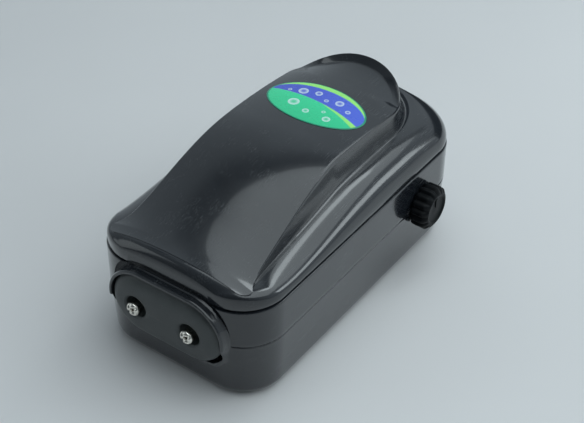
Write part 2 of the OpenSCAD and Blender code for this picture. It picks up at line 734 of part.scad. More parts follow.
// Round mains flex: straight through the rear wall, then down to the floor in two arcs
module power_cord() {
    bend_r = 20;
    straight_y = half_l + 16;
    drop = cord_z - cord_r;
    turn = acos(1 - drop / (2 * bend_r));
    run = bend_r * sin(turn);
    color("#1c1d1f") resize([0, 0, 0]) union() {
        rod_y(cord_r, 63, straight_y, cord_x, cord_z);
        translate([cord_x, straight_y, cord_z - bend_r]) rotate([0, -90, 0])
            rotate_extrude(angle = turn) translate([bend_r, 0]) circle(cord_r);
        translate([cord_x, straight_y + 2 * run, cord_r + bend_r]) rotate([0, -90, 0])
            rotate([0, 0, 180]) rotate_extrude(angle = turn) translate([bend_r, 0]) circle(cord_r);
        rod_y(cord_r, straight_y + 2 * run, straight_y + 2 * run + 4, cord_x, cord_r);
    }
}

// Ribbed rubber sleeve that snaps into the rear wall
module strain_relief() {
    ribs = 4;
    pitch = 3;
    start = half_l + 0.6;
    color("#1e2022") translate([cord_x, 0, cord_z]) rotate([-90, 0, 0]) difference() {
        union() {
            translate([0, 0, half_l - 5]) cylinder(r = 4, h = 7);
            translate([0, 0, half_l - 6]) cylinder(r = 5, h = 1.6);
            translate([0, 0, start]) cylinder(r = 5.4, h = 2);
            for (i = [0:ribs - 1])
                translate([0, 0, start + 2 + i * pitch]) {
                    cylinder(r = 3.5, h = pitch);
                    translate([0, 0, 1]) cylinder(r1 = 4.6 - 0.2 * i, r2 = 4.3 - 0.2 * i, h = 2);
                }
        }
        translate([0, 0, half_l - 8]) cylinder(r = cord_r, h = 40);
    }
}

// ---- Underside ------------------------------------------------------------

module rubber_feet() {
    color("#2b2c2e") for (p = foot_at) {
        post(5.4, base_z - 1, base_z + 1.5, p);
        translate([p.x, p.y, 0]) cylinder(r1 = 5.2, r2 = 6, h = base_z - 0.9);
        post(6, base_z - 0.9, base_z - 0.05, p);
    }
}
module case_screws() {
    color("#b9bdbf") for (p = screw_at) {
        post(2.9, base_z + 5.8, base_z + 8, p);
        post(1.1, base_z + 8, seam_z + 9, p);
    }
}
module intake_felt() {
    color("#e8e6df") post(intake_r - 0.3, base_z + 1.8, 7.6, [0, intake_y]);
}
// Slotted disc over the intake felt
module intake_cover() {
    slots = 5;
    color("#202325") difference() {
        post(intake_r - 0.1, base_z + 0.2, base_z + 1.8, [0, intake_y]);
        for (i = [0:slots - 1]) {
            x = (i - (slots - 1) / 2) * 3.4;
            block([x - 0.7, intake_y - 7, 0], [x + 0.7, intake_y + 7, 5]);
        }
    }
}

// Thin oval sticker that follows the crown of the raised top
module label() {
    a = 22.5;
    b = 13.5;
    yc = 21;
    n = 60;
    loops = 4;
    function ring(k, lift) = [for (i = [0:n - 1])
        let (p = [a * k / loops * cos(i * 360 / n), yc + b * k / loops * sin(i * 360 / n)])
        at(p, top_z(p) + lift)];
    points = concat([for (k = [1:loops]) each ring(k, 0.3)], [for (k = [1:loops]) each ring(k, 0.08)],
                    [at([0, yc], top_z([0, yc]) + 0.3), at([0, yc], top_z([0, yc]) + 0.08)]);
    low = loops * n;
    hub = 2 * low;
    faces = [for (k = [0:loops - 2], i = [0:n - 1])
        let (p = k * n + i, q = k * n + (i + 1) % n)
        each [[p, q, q + n], [p, q + n, p + n],
              [low + p, low + q + n, low + q], [low + p, low + p + n, low + q + n]]];
    rim = [for (i = [0:n - 1])
        let (p = (loops - 1) * n + i, q = (loops - 1) * n + (i + 1) % n)
        each [[p, q, low + q], [p, low + q, low + p]]];
    caps = [for (i = [0:n - 1])
        let (q = (i + 1) % n) each [[hub, q, i], [hub + 1, low + i, low + q]]];
    color("#35c98a") polyhedron(points, concat(faces, rim, caps), convexity = 4);
}

base_shell();
upper_shell();
outlet_plate();
nozzle_left();
nozzle_right();
nozzle_nuts();
outlet_hose_left();
outlet_hose_right();
air_chamber_left();
air_chamber_right();
chamber_cover_left();
chamber_cover_right();
inlet_flap_left();
inlet_flap_right();
outlet_flap_left();
outlet_flap_right();
diaphragm_left();
diaphragm_right();
clamp_ring_left();
clamp_ring_right();
swing_arm_left();
swing_arm_right();
magnet_left();
magnet_right();
hub_screw_left();
hub_screw_right();
hub_nut_left();
hub_nut_right();
pivot_pin_left();
pivot_pin_right();
chassis();
chassis_mounts();
chassis_screws();
chamber_screws();
laminated_core();
coil_bobbin();
coil_winding();
core_strap();
strap_screws();
control_board();
film_capacitor();
triac();
coil_leads();
flow_control();
control_nut();
control_shaft();
flow_knob();
power_cord();
strain_relief();
rubber_feet();
case_screws();
intake_felt();
intake_cover();
label();
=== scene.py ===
"""Looks of the twin-outlet aquarium air pump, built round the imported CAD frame.

Lengths in the shape code are millimetres in the CAD's own frame: +X to the flow knob, -Y to the
outlets, +Z up. They are turned into metres when a mesh is made.
"""
import json
import math

import bmesh
import bpy
import numpy as np
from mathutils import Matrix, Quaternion, Vector

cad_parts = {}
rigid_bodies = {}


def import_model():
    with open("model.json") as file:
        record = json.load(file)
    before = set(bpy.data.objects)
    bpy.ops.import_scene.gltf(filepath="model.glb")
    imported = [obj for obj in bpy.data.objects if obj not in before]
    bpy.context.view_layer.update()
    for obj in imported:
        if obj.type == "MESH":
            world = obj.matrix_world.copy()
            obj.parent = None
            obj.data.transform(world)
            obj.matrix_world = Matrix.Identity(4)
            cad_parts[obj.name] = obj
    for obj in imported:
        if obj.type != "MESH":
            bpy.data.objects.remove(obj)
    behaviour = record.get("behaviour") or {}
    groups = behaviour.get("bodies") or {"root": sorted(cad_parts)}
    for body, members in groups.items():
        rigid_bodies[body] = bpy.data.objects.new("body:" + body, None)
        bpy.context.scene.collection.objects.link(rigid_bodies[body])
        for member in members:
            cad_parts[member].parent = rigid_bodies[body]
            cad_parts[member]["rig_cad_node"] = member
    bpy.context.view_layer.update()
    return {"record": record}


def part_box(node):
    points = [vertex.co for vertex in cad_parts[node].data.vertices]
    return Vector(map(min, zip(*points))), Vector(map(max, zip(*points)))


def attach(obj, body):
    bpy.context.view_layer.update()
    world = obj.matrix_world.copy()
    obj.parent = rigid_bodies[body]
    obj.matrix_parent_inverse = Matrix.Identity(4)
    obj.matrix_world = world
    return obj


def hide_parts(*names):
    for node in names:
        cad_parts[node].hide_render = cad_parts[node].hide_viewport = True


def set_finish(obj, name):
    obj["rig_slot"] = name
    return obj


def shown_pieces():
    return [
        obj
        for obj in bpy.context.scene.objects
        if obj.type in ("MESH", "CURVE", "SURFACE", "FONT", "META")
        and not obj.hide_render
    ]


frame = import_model()

MM = 0.001


def box_mm(node):
    """Lowest and highest corner of a CAD node, in millimetres."""
    low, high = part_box(node)
    return np.array(low) / MM, np.array(high) / MM


def span(node, axis):
    """Lowest and highest coordinate of a CAD node along one axis."""
    low, high = box_mm(node)
    return low[axis], high[axis]


def middle(node):
    """Centre and half size of a CAD node's box, in millimetres."""
    low, high = box_mm(node)
    return (low + high) / 2, (high - low) / 2


def mount(name):
    """A mount's place in millimetres, and its radius."""
    found = next(m for m in frame["record"]["mounts"] if m["name"] == name)
    return np.array(found["pos_m"]) / MM, found["dims"].get("r_mm")


def four_corners(node, radius):
    """Centres of four round items of one radius in the corners of a CAD node's box."""
    x, y = box_mm(node)[1][:2] - radius
    return [(sx * x, sy * y) for sx in (1, -1) for sy in (1, -1)]


# ---- Sizes ----

# Casing
(_, _, BASE_Z), (HALF_W, HALF_L, SEAM_Z) = box_mm("base_shell")
CORNER_R = 18.7
GROOVE_Z = SEAM_Z + 17.1  # floor of the shadow groove round the top cover
FLOOR_Z = BASE_Z + 2.4  # inner face of the base's floor
WALL = 2.2
DRAFT = 1.2  # how far the base narrows from the seam to its bottom edge
BASE_EDGE_R = 3.0
SEAM_GAP = 0.15
COVER_INSET = 0.4  # step back of the cover above the groove
CORNER_X = HALF_W - CORNER_R
CORNER_Y = HALF_L - CORNER_R

# Raised top: its lip is the outline where the top meets its side wall, its foot the outline
# where that wall meets the casing's shoulder
TOP_W = 26.3  # half-width of the lip at the tail
TOP_FRONT_W = 33.0  # and at the front
TOP_FRONT_Y = -HALF_L + 4.2
TOP_FRONT_R = 4.5
TAIL_Y = 37.0  # from here back both outlines are half ovals
LIP_L, LIP_POWER = 23.0, 2.06
FOOT_L, FOOT_POWER = 35.0, 2.2
FOOT_FLARE = 1.3  # how far the foot stands out of the lip at the sides
FRONT_TOP_Z, PEAK_Z = SEAM_Z + 28.3, SEAM_Z + 45.1
FRONT_EDGE_Z, PEAK_EDGE_Z = SEAM_Z + 24.0, SEAM_Z + 43.6
TOP_RUN, EDGE_RUN = 72.0, 70.0  # length of the front slope on the spine and at the lip
TOP_FALL, EDGE_FALL = 0.0005, 0.0016  # drop behind the peak, per square of the distance
FOOT_FRONT_Z, SHOULDER_Z = SEAM_Z + 24.3, SEAM_Z + 30.6
LEAN_FRONT_Z, LEAN_SIDE_Z, LEAN_REAR_Z = GROOVE_Z + 1.4, SEAM_Z + 22.8, SEAM_Z + 20.3

# Turned-up rear lip: it climbs from RIM_Y back, round a deck that ends in a crease
RIM_Y, RIM_RISE, RIM_RUN = 44.0, 9.5, 16.0
RIM_CREASE, RIM_SOFT, RIM_DEPTH = 0.87, 0.06, 2.6

# Outlets
(OUTLET_X, _, _), NOZZLE_R = mount("air_outlet_right")
(_, _, PLATE_MID_Z), (PLATE_HALF_W, _, PLATE_HALF_H) = middle("outlet_plate")
PLATE_FACE_Y, PLATE_BACK_Y = span("outlet_plate", 1)
SOCKET_R = 4.6
SOCKET_FLOOR_Y = PLATE_BACK_Y - 2.0
COLLAR_Y = span("upper_shell", 1)[0]
COLLAR_T = 1.5
FIT_GAP = 0.1

# Knob
KNOB_Y, KNOB_Z = middle("flow_knob")[0][1:]
KNOB_R = 9.6
KNOB_RIBS = 16

# Underside and cord
SCREW_R = 2.9
SCREWS = four_corners("case_screws", SCREW_R)
FOOT_R = 6.0
FEET = [(0.0, 0.0)] + four_corners("rubber_feet", FOOT_R)
MOUNTS = [(x, y) for x in (27.0, -27.0) for y in (50.0, -12.0)]
(_, INTAKE_Y, _), (INTAKE_R, _, _) = middle("intake_cover")
(CORD_X, _, _), (CORD_R, _, _) = middle("power_cord")
CORD_Z = span("power_cord", 2)[1] - CORD_R  # height at which it leaves the casing
BUSHING_R = 3.5
BOARD_X, BOARD_Y = 25.0, (66.0, 70.4)  # rails that hold the control board

# Diaphragms and label
HUB_R, HUB_GAP = 5.0, 0.25
LABEL_C, (LABEL_A, LABEL_B, _) = middle("label")


# ---- Small helpers ----


def smooth(t):
    c = np.clip(t, 0, 1)
    return c * c * (3 - 2 * c)


def lerp(a, b, t):
    return a + (b - a) * t


def sweep(start, end, steps):
    """Angles in radians, from limits in degrees."""
    return np.radians(np.linspace(start, end, steps))


def full_turn(steps):
    return np.linspace(0, 2 * np.pi, steps, endpoint=False)


def make_object(name, verts_mm, faces, body="casing"):
    """A mesh object from millimetre points, with its normals outwards, riding on a CAD body."""
    mesh = bpy.data.meshes.new(name)
    mesh.from_pydata([tuple(v) for v in np.asarray(verts_mm, float) * MM], [], faces)
    mesh.validate()
    bm = bmesh.new()
    bm.from_mesh(mesh)
    bmesh.ops.recalc_face_normals(bm, faces=bm.faces)
    bm.to_mesh(mesh)
    bm.free()
    obj = bpy.data.objects.new(name, mesh)
    bpy.context.scene.collection.objects.link(obj)
    if body:
        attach(obj, body)
    return obj


def shade(obj, angle=35):
    """Smooth shading, with creases sharper than the angle kept crisp."""
    bm = bmesh.new()
    bm.from_mesh(obj.data)
    limit = math.radians(angle)
    for face in bm.faces:
        face.smooth = True
    for edge in bm.edges:
        edge.smooth = len(edge.link_faces) != 2 or edge.calc_face_angle(0) < limit
    bm.to_mesh(obj.data)
    bm.free()


def loft(rings, caps=(), wrap=False):
    """Quads between equal closed rings; caps closes the ends, wrap joins last to first."""
    count = len(rings[0])
    verts = np.concatenate([np.asarray(r, float) for r in rings])
    faces = []
    for k in range(len(rings) if wrap else len(rings) - 1):
        low, high = k * count, (k + 1) % len(rings) * count
        for i in range(count):
            j = (i + 1) % count
            faces.append((low + i, low + j, high + j, high + i))
    if "first" in caps:
        faces.append(tuple(range(count - 1, -1, -1)))
    if "last" in caps:
        start = (len(rings) - 1) * count
        faces.append(tuple(range(start, start + count)))
    return verts, faces


def solid(rings):
    """A loft closed at both ends."""
    return loft(rings, caps=("first", "last"))


def join_shapes(*shapes):
    """One vertex and face list from several separate shapes."""
    verts, faces = [], []
    for shape_verts, shape_faces in shapes:
        start = sum(len(v) for v in verts)
        verts.append(shape_verts)
        faces += [tuple(i + start for i in face) for face in shape_faces]
    return np.concatenate(verts), faces


def boolean(obj, operation, *shapes):
    """Applies an exact boolean with one or more separate millimetre shapes."""
    cutter = make_object("cutter", *join_shapes(*shapes), body=None)
    modifier = obj.modifiers.new("cut", "BOOLEAN")
    modifier.operation = operation
    modifier.solver = "EXACT"
    modifier.object = cutter
    graph = bpy.context.evaluated_depsgraph_get()
    graph.update()
    mesh = bpy.data.meshes.new_from_object(obj.evaluated_get(graph))
    obj.modifiers.clear()
    obj.data = mesh
    bpy.data.objects.remove(cutter)


def clipped(shape, low, high):
    """The part of a shape that lies in a box."""
    obj = make_object("clipped", *shape, body=None)
    boolean(obj, "INTERSECT", block(low, high))
    verts = np.array([v.co for v in obj.data.vertices]) / MM
    faces = [tuple(p.vertices) for p in obj.data.polygons]
    bpy.data.objects.remove(obj)
    return verts, faces


def block(low, high):
    """Shape of a box between two corners."""
    x0, y0, z0 = low
    x1, y1, z1 = high
    rings = [[(x0, y0, z), (x1, y0, z), (x1, y1, z), (x0, y1, z)] for z in (z0, z1)]
    return solid(rings)


def turned(profile, axis, origin, steps=96, wobble=None, wrap=False):
    """Shape turned round an axis: profile holds (radius, distance along the axis) pairs.

    wobble, if given, maps the turn angle and the profile's index to a factor on the radius.
    With wrap the profile is a closed section and the shape a ring; otherwise its ends are capped.
    """
    turn = full_turn(steps)
    rings = []
    for k, (radius, along) in enumerate(profile):
        r = radius * (wobble(turn, k) if wobble else 1)
        a, b, flat = r * np.cos(turn), r * np.sin(turn), np.full(steps, float(along))
        columns = {"x": [flat, a, b], "y": [b, flat, a], "z": [a, b, flat]}[axis]
        rings.append(np.stack(columns, 1) + np.asarray(origin, float))
    return loft(rings, caps=() if wrap else ("first", "last"), wrap=wrap)


def post(radius, z0, z1, at, steps=40):
    """Shape of an upright cylinder."""
    return turned([(radius, z0), (radius, z1)], "z", (*at, 0), steps)


CUT, JOIN = "DIFFERENCE", "UNION"


def add_piece(name, shape, slot, node, *changes, body="casing", angle=35):
    """Makes a piece with its boolean changes; it hides the CAD node that it stands for."""
    obj = make_object(name, *shape, body=body)
    for operation, *shapes in changes:
        boolean(obj, operation, *shapes)
    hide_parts(node)
    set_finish(obj, slot)
    shade(obj, angle)


# ---- Casing surface ----
# Stations run along the right half of the casing's outline: from the middle of the front round
# the front corner, along the side (up to S_TAIL beside the raised top's tail, then to S_REAR) and
# round the rear corner to the middle of the rear.

N_END, N_ARC, N_SIDE, N_TAIL = 14, 26, 64, 14
S_FRONT = N_END
S_SIDE = S_FRONT + N_ARC
S_TAIL = S_SIDE + N_SIDE
S_REAR = S_TAIL + N_TAIL
S_BACK = S_REAR + N_ARC
S_LAST = S_BACK + N_END
STATION = np.arange(S_LAST + 1)
RING = 2 * S_LAST
FRONT_TURN = np.radians(90 * (STATION - S_FRONT) / N_ARC - 90)
REAR_TURN = np.radians(90 * (STATION - S_REAR) / N_ARC)


def outline(d=0.0):
    """Right half of the casing's plan outline, moved inwards by d."""
    d = np.broadcast_to(np.asarray(d, float), STATION.shape)
    r = CORNER_R - d
    i = STATION
    x = np.select(
        [i <= S_FRONT, i <= S_SIDE, i <= S_REAR, i <= S_BACK],
        [CORNER_X * i / N_END, CORNER_X + r * np.cos(FRONT_TURN), HALF_W - d,
         CORNER_X + r * np.cos(REAR_TURN)],
        CORNER_X * (S_LAST - i) / N_END)
    y = np.select(
        [i <= S_FRONT, i <= S_SIDE, i <= S_TAIL, i <= S_REAR, i <= S_BACK],
        [d - HALF_L, r * np.sin(FRONT_TURN) - CORNER_Y,
         lerp(-CORNER_Y, TAIL_Y, (i - S_SIDE) / N_SIDE),
         lerp(TAIL_Y, CORNER_Y, (i - S_TAIL) / N_TAIL), CORNER_Y + r * np.sin(REAR_TURN)],
        HALF_L - d)
    return np.stack([x, y], 1)


def top_width(y):
    """Half-width of the raised top's lip ahead of its tail."""
    start = TOP_FRONT_Y + TOP_FRONT_R
    flare = TOP_FRONT_W - TOP_W
    return (TOP_W + 0.55 * flare * np.clip((-4 - y) / (-4 - start), 0, 1)
            + 0.45 * flare * np.exp((start - np.maximum(y, start)) / 4))


def raised_outline(flare, length, power):
    """Right half of the raised top's outline: flare is how far the sides stand out of the lip."""
    i = STATION
    cx, cy = TOP_FRONT_W - TOP_FRONT_R, TOP_FRONT_Y + TOP_FRONT_R
    side_y = lerp(cy, TAIL_Y, (i - S_SIDE) / N_SIDE)
    tail = np.radians(np.clip(90 * (i - S_TAIL) / (S_LAST - S_TAIL), 0, 90))
    x = np.select(
        [i <= S_FRONT, i <= S_SIDE, i <= S_TAIL],
        [cx * i / N_END, cx + TOP_FRONT_R * np.cos(FRONT_TURN),
         top_width(side_y) + flare * smooth((side_y - cy) / 60)],
        (TOP_W + flare) * np.cos(tail).clip(0) ** (2 / power))
    y = np.select(
        [i <= S_FRONT, i <= S_SIDE, i <= S_TAIL],
        [np.full(i.shape, TOP_FRONT_Y), cy + TOP_FRONT_R * np.sin(FRONT_TURN), side_y],
        TAIL_Y + length * np.sin(tail).clip(0) ** (2 / power))
    return np.stack([x, y], 1)


def across(x, y):
    """0 on the raised top's spine, 1 on its lip."""
    tail = ((np.abs(x) / TOP_W) ** LIP_POWER
            + (np.clip(y - TAIL_Y, 0, None) / LIP_L) ** LIP_POWER) ** (1 / LIP_POWER)
    return np.where(y <= TAIL_Y, np.abs(x) / top_width(y), tail)


def edge_height(y):
    """Height of the raised top's edge: a slope up to the peak, then a slow fall."""
    rise = lerp(FRONT_EDGE_Z, PEAK_EDGE_Z, smooth(np.clip(y / EDGE_RUN + 1, 0, 1) ** 0.85))
    return np.where(y < 0, rise, PEAK_EDGE_Z - EDGE_FALL * y * y)


def spine_height(y):
    """Height of the raised top along its middle."""
    rise = lerp(FRONT_TOP_Z, PEAK_Z, smooth(np.clip(y / TOP_RUN + 1, 0, 1) ** 0.9))
    return np.where(y < 0, rise, PEAK_Z - TOP_FALL * y * y)


def crown_height(x, y):
    """Height of the crowned surface without its turned-up rear lip."""
    side = np.clip(np.abs(x) / top_width(y), 0, 1)
    return lerp(spine_height(y), edge_height(y), side**2.5)


def lip_height(y):
    """Height of the edge with its turned-up rear."""
    return edge_height(y) + RIM_RISE * (np.clip(y - RIM_Y, 0, None) / RIM_RUN) ** 1.5


def top_height(x, y):
    """The crowned surface; round the tail it is a level deck inside a creased, raised lip."""
    out = across(x, y)
    share = np.maximum(out, 0.3)
    lip_x, lip_y = x / share, TAIL_Y + (y - TAIL_Y) / share
    depth = RIM_DEPTH * smooth((lip_y - TAIL_Y - 3) / 18)
    level = lip_height(lip_y) - depth - crown_height(lip_x, lip_y)
    t = (out - RIM_CREASE) / (1 - RIM_CREASE)
    bend = 0.5 * (t + np.sqrt(t**2 + RIM_SOFT**2))
    return crown_height(x, y) + np.where(y > TAIL_Y, level * out**3.5 + depth * bend, 0)


LIP = raised_outline(0, LIP_L, LIP_POWER)
FOOT = raised_outline(FOOT_FLARE, FOOT_L, FOOT_POWER)
LIP_Z = top_height(LIP[:, 0], LIP[:, 1])
INWARD = FOOT - outline()
INWARD /= np.linalg.norm(INWARD, axis=1)[:, None]
CENTRE = np.stack([np.zeros(S_LAST + 1), np.clip(LIP[:, 1], -60, TAIL_Y)], 1)
LIP_INWARD = CENTRE - LIP
LIP_INWARD /= np.linalg.norm(LIP_INWARD, axis=1)[:, None]
STEP_Z = 0.25
FOOT_Z = np.minimum(
    LIP_Z - STEP_Z,
    np.where(STATION <= S_SIDE, 1e3,
             lerp(FOOT_FRONT_Z, SHOULDER_Z, smooth((FOOT[:, 1] + 62) / 75))
             - smooth((FOOT[:, 1] - 30) / 35)))
# Rounding of the lip, sharper at the rear
EDGE_R = np.minimum(0.7 - 0.4 * smooth((LIP[:, 1] - RIM_Y) / 10), (LIP_Z - FOOT_Z) / 2.5)
# Height from which the shoulder leans inwards
LEAN_Z = lerp(LEAN_FRONT_Z, np.where(STATION < S_TAIL, LEAN_SIDE_Z, LEAN_REAR_Z),
              np.where(STATION < S_TAIL, 1 - smooth((STATION - S_FRONT) / N_ARC),
                       smooth((STATION - S_REAR) / N_ARC)))


def ring(plan, z):
    """Full ring of 3-D points from a right-half plan and its heights."""
    z = np.broadcast_to(np.asarray(z, float), STATION.shape)
    half = np.column_stack([plan, z])
    left = half[S_LAST - 1:0:-1] * np.array([-1, 1, 1])
    return np.concatenate([half, left])


def shoulder_ring(a, inset=0.0):
    """The rounded shoulder, from the cover's side (a = 0) to the raised top's foot."""
    start = outline(COVER_INSET + inset)
    end = FOOT + INWARD * inset
    return ring(lerp(start, end, 1 - math.cos(a)), lerp(LEAN_Z, FOOT_Z - inset, math.sin(a)))


def wall_ring(a):
    """The raised top's hollow side wall, from its foot up to the lip's rounding."""
    return ring(lerp(FOOT, LIP, math.sin(a)), lerp(FOOT_Z, LIP_Z - EDGE_R, 1 - math.cos(a)))


def lip_ring(a):
    """The rounding from the wall over on to the top."""
    plan = LIP + LIP_INWARD * (EDGE_R * (1 - math.cos(a)))[:, None]
    z = top_height(plan[:, 0], plan[:, 1])
    return ring(plan, lerp(LIP_Z - EDGE_R, z, math.sin(a)))


def inner_loop():
    """Narrow loop round the spine, on which the top's rings end."""
    turn = np.pi * STATION / S_LAST
    return np.stack([4 * np.sin(turn), -6 - 50 * np.cos(turn)], 1)


def crown_plan(f, inset):
    """Plan of a ring on the top: f runs from the lip (0) to the inner loop (1)."""
    inset = np.broadcast_to(inset, STATION.shape)
    return lerp(LIP + LIP_INWARD * inset[:, None], inner_loop(), f)


def crown_ring(f):
    plan = crown_plan(f, EDGE_R)
    return ring(plan, top_height(plan[:, 0], plan[:, 1]))


def ceiling_ring(f):
    plan = crown_plan(f, WALL)
    return ring(plan, crown_height(plan[:, 0], plan[:, 1]) - WALL)


def ladder(first, flip=False):
    """Quads across the ring that starts at vertex first, from its right half to its left half."""
    faces = []
    for i in range(S_LAST):
        right, left = first + i, first + (RING - i) % RING
        next_left = first + (RING - i - 1) % RING
        face = list(dict.fromkeys([right, right + 1, next_left, left]))
        faces.append(tuple(face[::-1] if flip else face))
    return faces


def shell(outside, inside):
    """Closed hollow shell: outside rings end in a ladder, inside rings start with one."""
    verts_out, faces = loft(outside)
    faces += ladder((len(outside) - 1) * RING)
    verts_in, faces_in = loft(inside)
    first_in = len(outside) * RING
    faces += [tuple(v + first_in for v in f) for f in faces_in]
    faces += ladder(first_in, flip=True)
    last_in = first_in + (len(inside) - 1) * RING
    faces += [(i, last_in + i, last_in + (i + 1) % RING, (i + 1) % RING) for i in range(RING)]
    return np.concatenate([verts_out, verts_in]), faces


# Rounding of the two shells' edges at the seam: (inset, height above the edge)
SEAM_EDGE = [(WALL, 0.0), (0.45, 0.0), (0.2, 0.05), (0.05, 0.2), (0.0, 0.45)]
# Section of the shadow groove under the top cover: (inset, height above the groove's floor)
GROOVE = [(0.0, -0.5), (0.04, -0.25), (0.16, -0.07), (0.4, 0.0), (1.2, 0.02), (1.4, 0.15),
          (1.4, 0.7), (1.1, 0.78), (0.72, 0.82), (0.5, 0.95), (COVER_INSET, 1.2)]


def upper_shell_shape():
    outside = [ring(outline(d), SEAM_Z + SEAM_GAP + z) for d, z in SEAM_EDGE]
    outside += [ring(outline(0), z) for z in np.linspace(SEAM_Z + 2, GROOVE_Z - 1.2, 12)]
    outside += [ring(outline(d), GROOVE_Z + z) for d, z in GROOVE]
    outside += [shoulder_ring(a) for a in sweep(3, 90, 30)]
    outside += [wall_ring(a) for a in sweep(8, 90, 12)]
    outside += [lip_ring(a) for a in sweep(18, 90, 5)]
    outside += [crown_ring(f) for f in np.linspace(0.01, 1, 64) ** 1.35]
    inside = [ceiling_ring(f) for f in (1, 0.6, 0.3, 0)]
    inside += [shoulder_ring(a, WALL) for a in np.radians([90, 60, 30, 0])]
    inside += [ring(outline(WALL + 1), GROOVE_Z), ring(outline(WALL), GROOVE_Z - 2)]
    return shell(outside, inside)


def base_shell_shape():
    seam = [ring(outline(d), SEAM_Z - z) for d, z in SEAM_EDGE]
    levels = np.linspace(0.04, 1, 14)[:-1]
    sides = [ring(outline(DRAFT * t), lerp(SEAM_Z, BASE_Z + BASE_EDGE_R, t)) for t in levels]
    edge = [ring(outline(DRAFT + BASE_EDGE_R * (1 - math.sin(a))),
                 BASE_Z + BASE_EDGE_R * (1 - math.cos(a)))
            for a in sweep(90, 0, 9)]
    inside = [ring(outline(DRAFT + WALL + 1), FLOOR_Z), ring(outline(DRAFT + WALL), FLOOR_Z + 1)]
    return shell(seam + sides + edge, inside)


# ---- Outlet opening ----


def stadium(steps=40, run_steps=16):
    """Points and outward normals of the outlet plate's outline, in the XZ plane."""
    run = PLATE_HALF_W - PLATE_HALF_H
    points, normals = [], []
    for side, start in ((1, -90), (-1, 90)):
        for a in sweep(start, start + 180, steps):
            points.append((side * run + PLATE_HALF_H * math.cos(a),
                           PLATE_MID_Z + PLATE_HALF_H * math.sin(a)))
            normals.append((math.cos(a), math.sin(a)))
        for k in range(1, run_steps):
            points.append((side * run * (1 - 2 * k / run_steps), PLATE_MID_Z + side * PLATE_HALF_H))
            normals.append((0, side))
    return np.array(points), np.array(normals)


EDGE, EDGE_NORMAL = stadium()


def plate_ring(offset, y):
    """Ring round the plate's outline: offset and y may vary from point to point."""
    offset = np.broadcast_to(offset, len(EDGE))
    points = EDGE + EDGE_NORMAL * offset[:, None]
    return np.column_stack([points[:, 0], np.broadcast_to(y, len(EDGE)), points[:, 1]])


FAR_Y = -HALF_L - 20
ARCH_OUT_SIDE = 3.2  # how far the sunk arch reaches beyond the plate at the sides
ARCH_OUT_TOP = 5.4  # and at the top
ARCH_FLOOR_Y = -HALF_L + 1.5


def arch_shape():
    """What the sunk arch removes: a cove that rises from the collar's root to the front face."""
    arch = ARCH_OUT_SIDE + (ARCH_OUT_TOP - ARCH_OUT_SIDE) * np.clip(EDGE_NORMAL[:, 1], 0, 1) ** 1.5
    root = COLLAR_T + FIT_GAP
    rings = [plate_ring(arch, FAR_Y), plate_ring(arch, ARCH_FLOOR_Y - 1.9)]
    rings += [plate_ring(lerp(root, arch, t), ARCH_FLOOR_Y - 1.9 * t ** 2.2)
              for t in (0.94, 0.87, 0.78, 0.68, 0.56, 0.42, 0.25, 0)]
    return solid(rings)


def collar_shape():
    """Ring-shaped collar round the plate, with a rounded rim."""
    out, rim = COLLAR_T + FIT_GAP, COLLAR_Y
    section = [(FIT_GAP, -HALF_L + 3), (FIT_GAP, rim + 0.5), (FIT_GAP + 0.15, rim + 0.15),
               (FIT_GAP + 0.45, rim), (out - 0.7, rim + 0.02), (out - 0.3, rim + 0.15),
               (out - 0.06, rim + 0.5), (out, rim + 1), (out + 0.05, rim + 2.6),
               (out + 0.25, rim + 3.4), (out + 0.7, rim + 4.1), (out + 0.7, -HALF_L + 3)]
    return loft([plate_ring(offset, y) for offset, y in section], wrap=True)


def plate_hole(gap):
    """What is cut from a shell's front wall for the plate."""
    return solid([plate_ring(gap, FAR_Y), plate_ring(gap, -HALF_L + 8)])


def build_upper_cover():
    low_z = SEAM_Z + SEAM_GAP
    collar = clipped(collar_shape(), (-HALF_W, FAR_Y, low_z), (HALF_W, 0, low_z + 60))
    add_piece("upper_cover", upper_shell_shape(), "casing", "upper_shell", (CUT, arch_shape()),
              (CUT, plate_hole(0.6)), (JOIN, collar))


def base_front_y(x, z):
    """The base's front face, curving back round its corners."""
    inset = DRAFT * (SEAM_Z - z) / (SEAM_Z - BASE_Z - BASE_EDGE_R)
    beyond = np.clip(np.abs(x) - CORNER_X, 0, None)
    return -CORNER_Y - np.sqrt((CORNER_R - inset) ** 2 - beyond**2)


def cradle_gap(z):
    """Gap between plate and base: tight at the seam and the bottom, wide at the corners."""
    below = SEAM_Z - z
    return FIT_GAP + 1.7 * smooth((below - 2) / 4.5) * (1 - 0.93 * smooth((below - 10) / 2.4))


def cradle_shape():
    """The base's part of the collar: it fades from the seam round to a low rim below."""
    proud = lerp(0.9, -HALF_L - COLLAR_Y, smooth((EDGE[:, 1] - SEAM_Z + 7) / 7))
    gap = cradle_gap(EDGE[:, 1])

    def low_ring(offset, lift):
        points = plate_ring(offset, 0)
        points[:, 1] = base_front_y(points[:, 0], points[:, 2]) - lift
        return points

    width = COLLAR_T + 0.7
    rings = [plate_ring(gap, -HALF_L + 3.5), low_ring(gap, proud - 0.3),
             low_ring(gap + 0.12, proud - 0.06), low_ring(gap + 0.4, proud)]
    rings += [low_ring(gap + 0.4 + (width - 0.4) * t, proud * (1 - smooth(t)))
              for t in np.linspace(0.1, 0.95, 12)]
    rings += [low_ring(gap + width + 0.2, -0.1), plate_ring(gap + width + 0.3, -HALF_L + 3.5)]
    return loft(rings, wrap=True)


# ---- Base ----


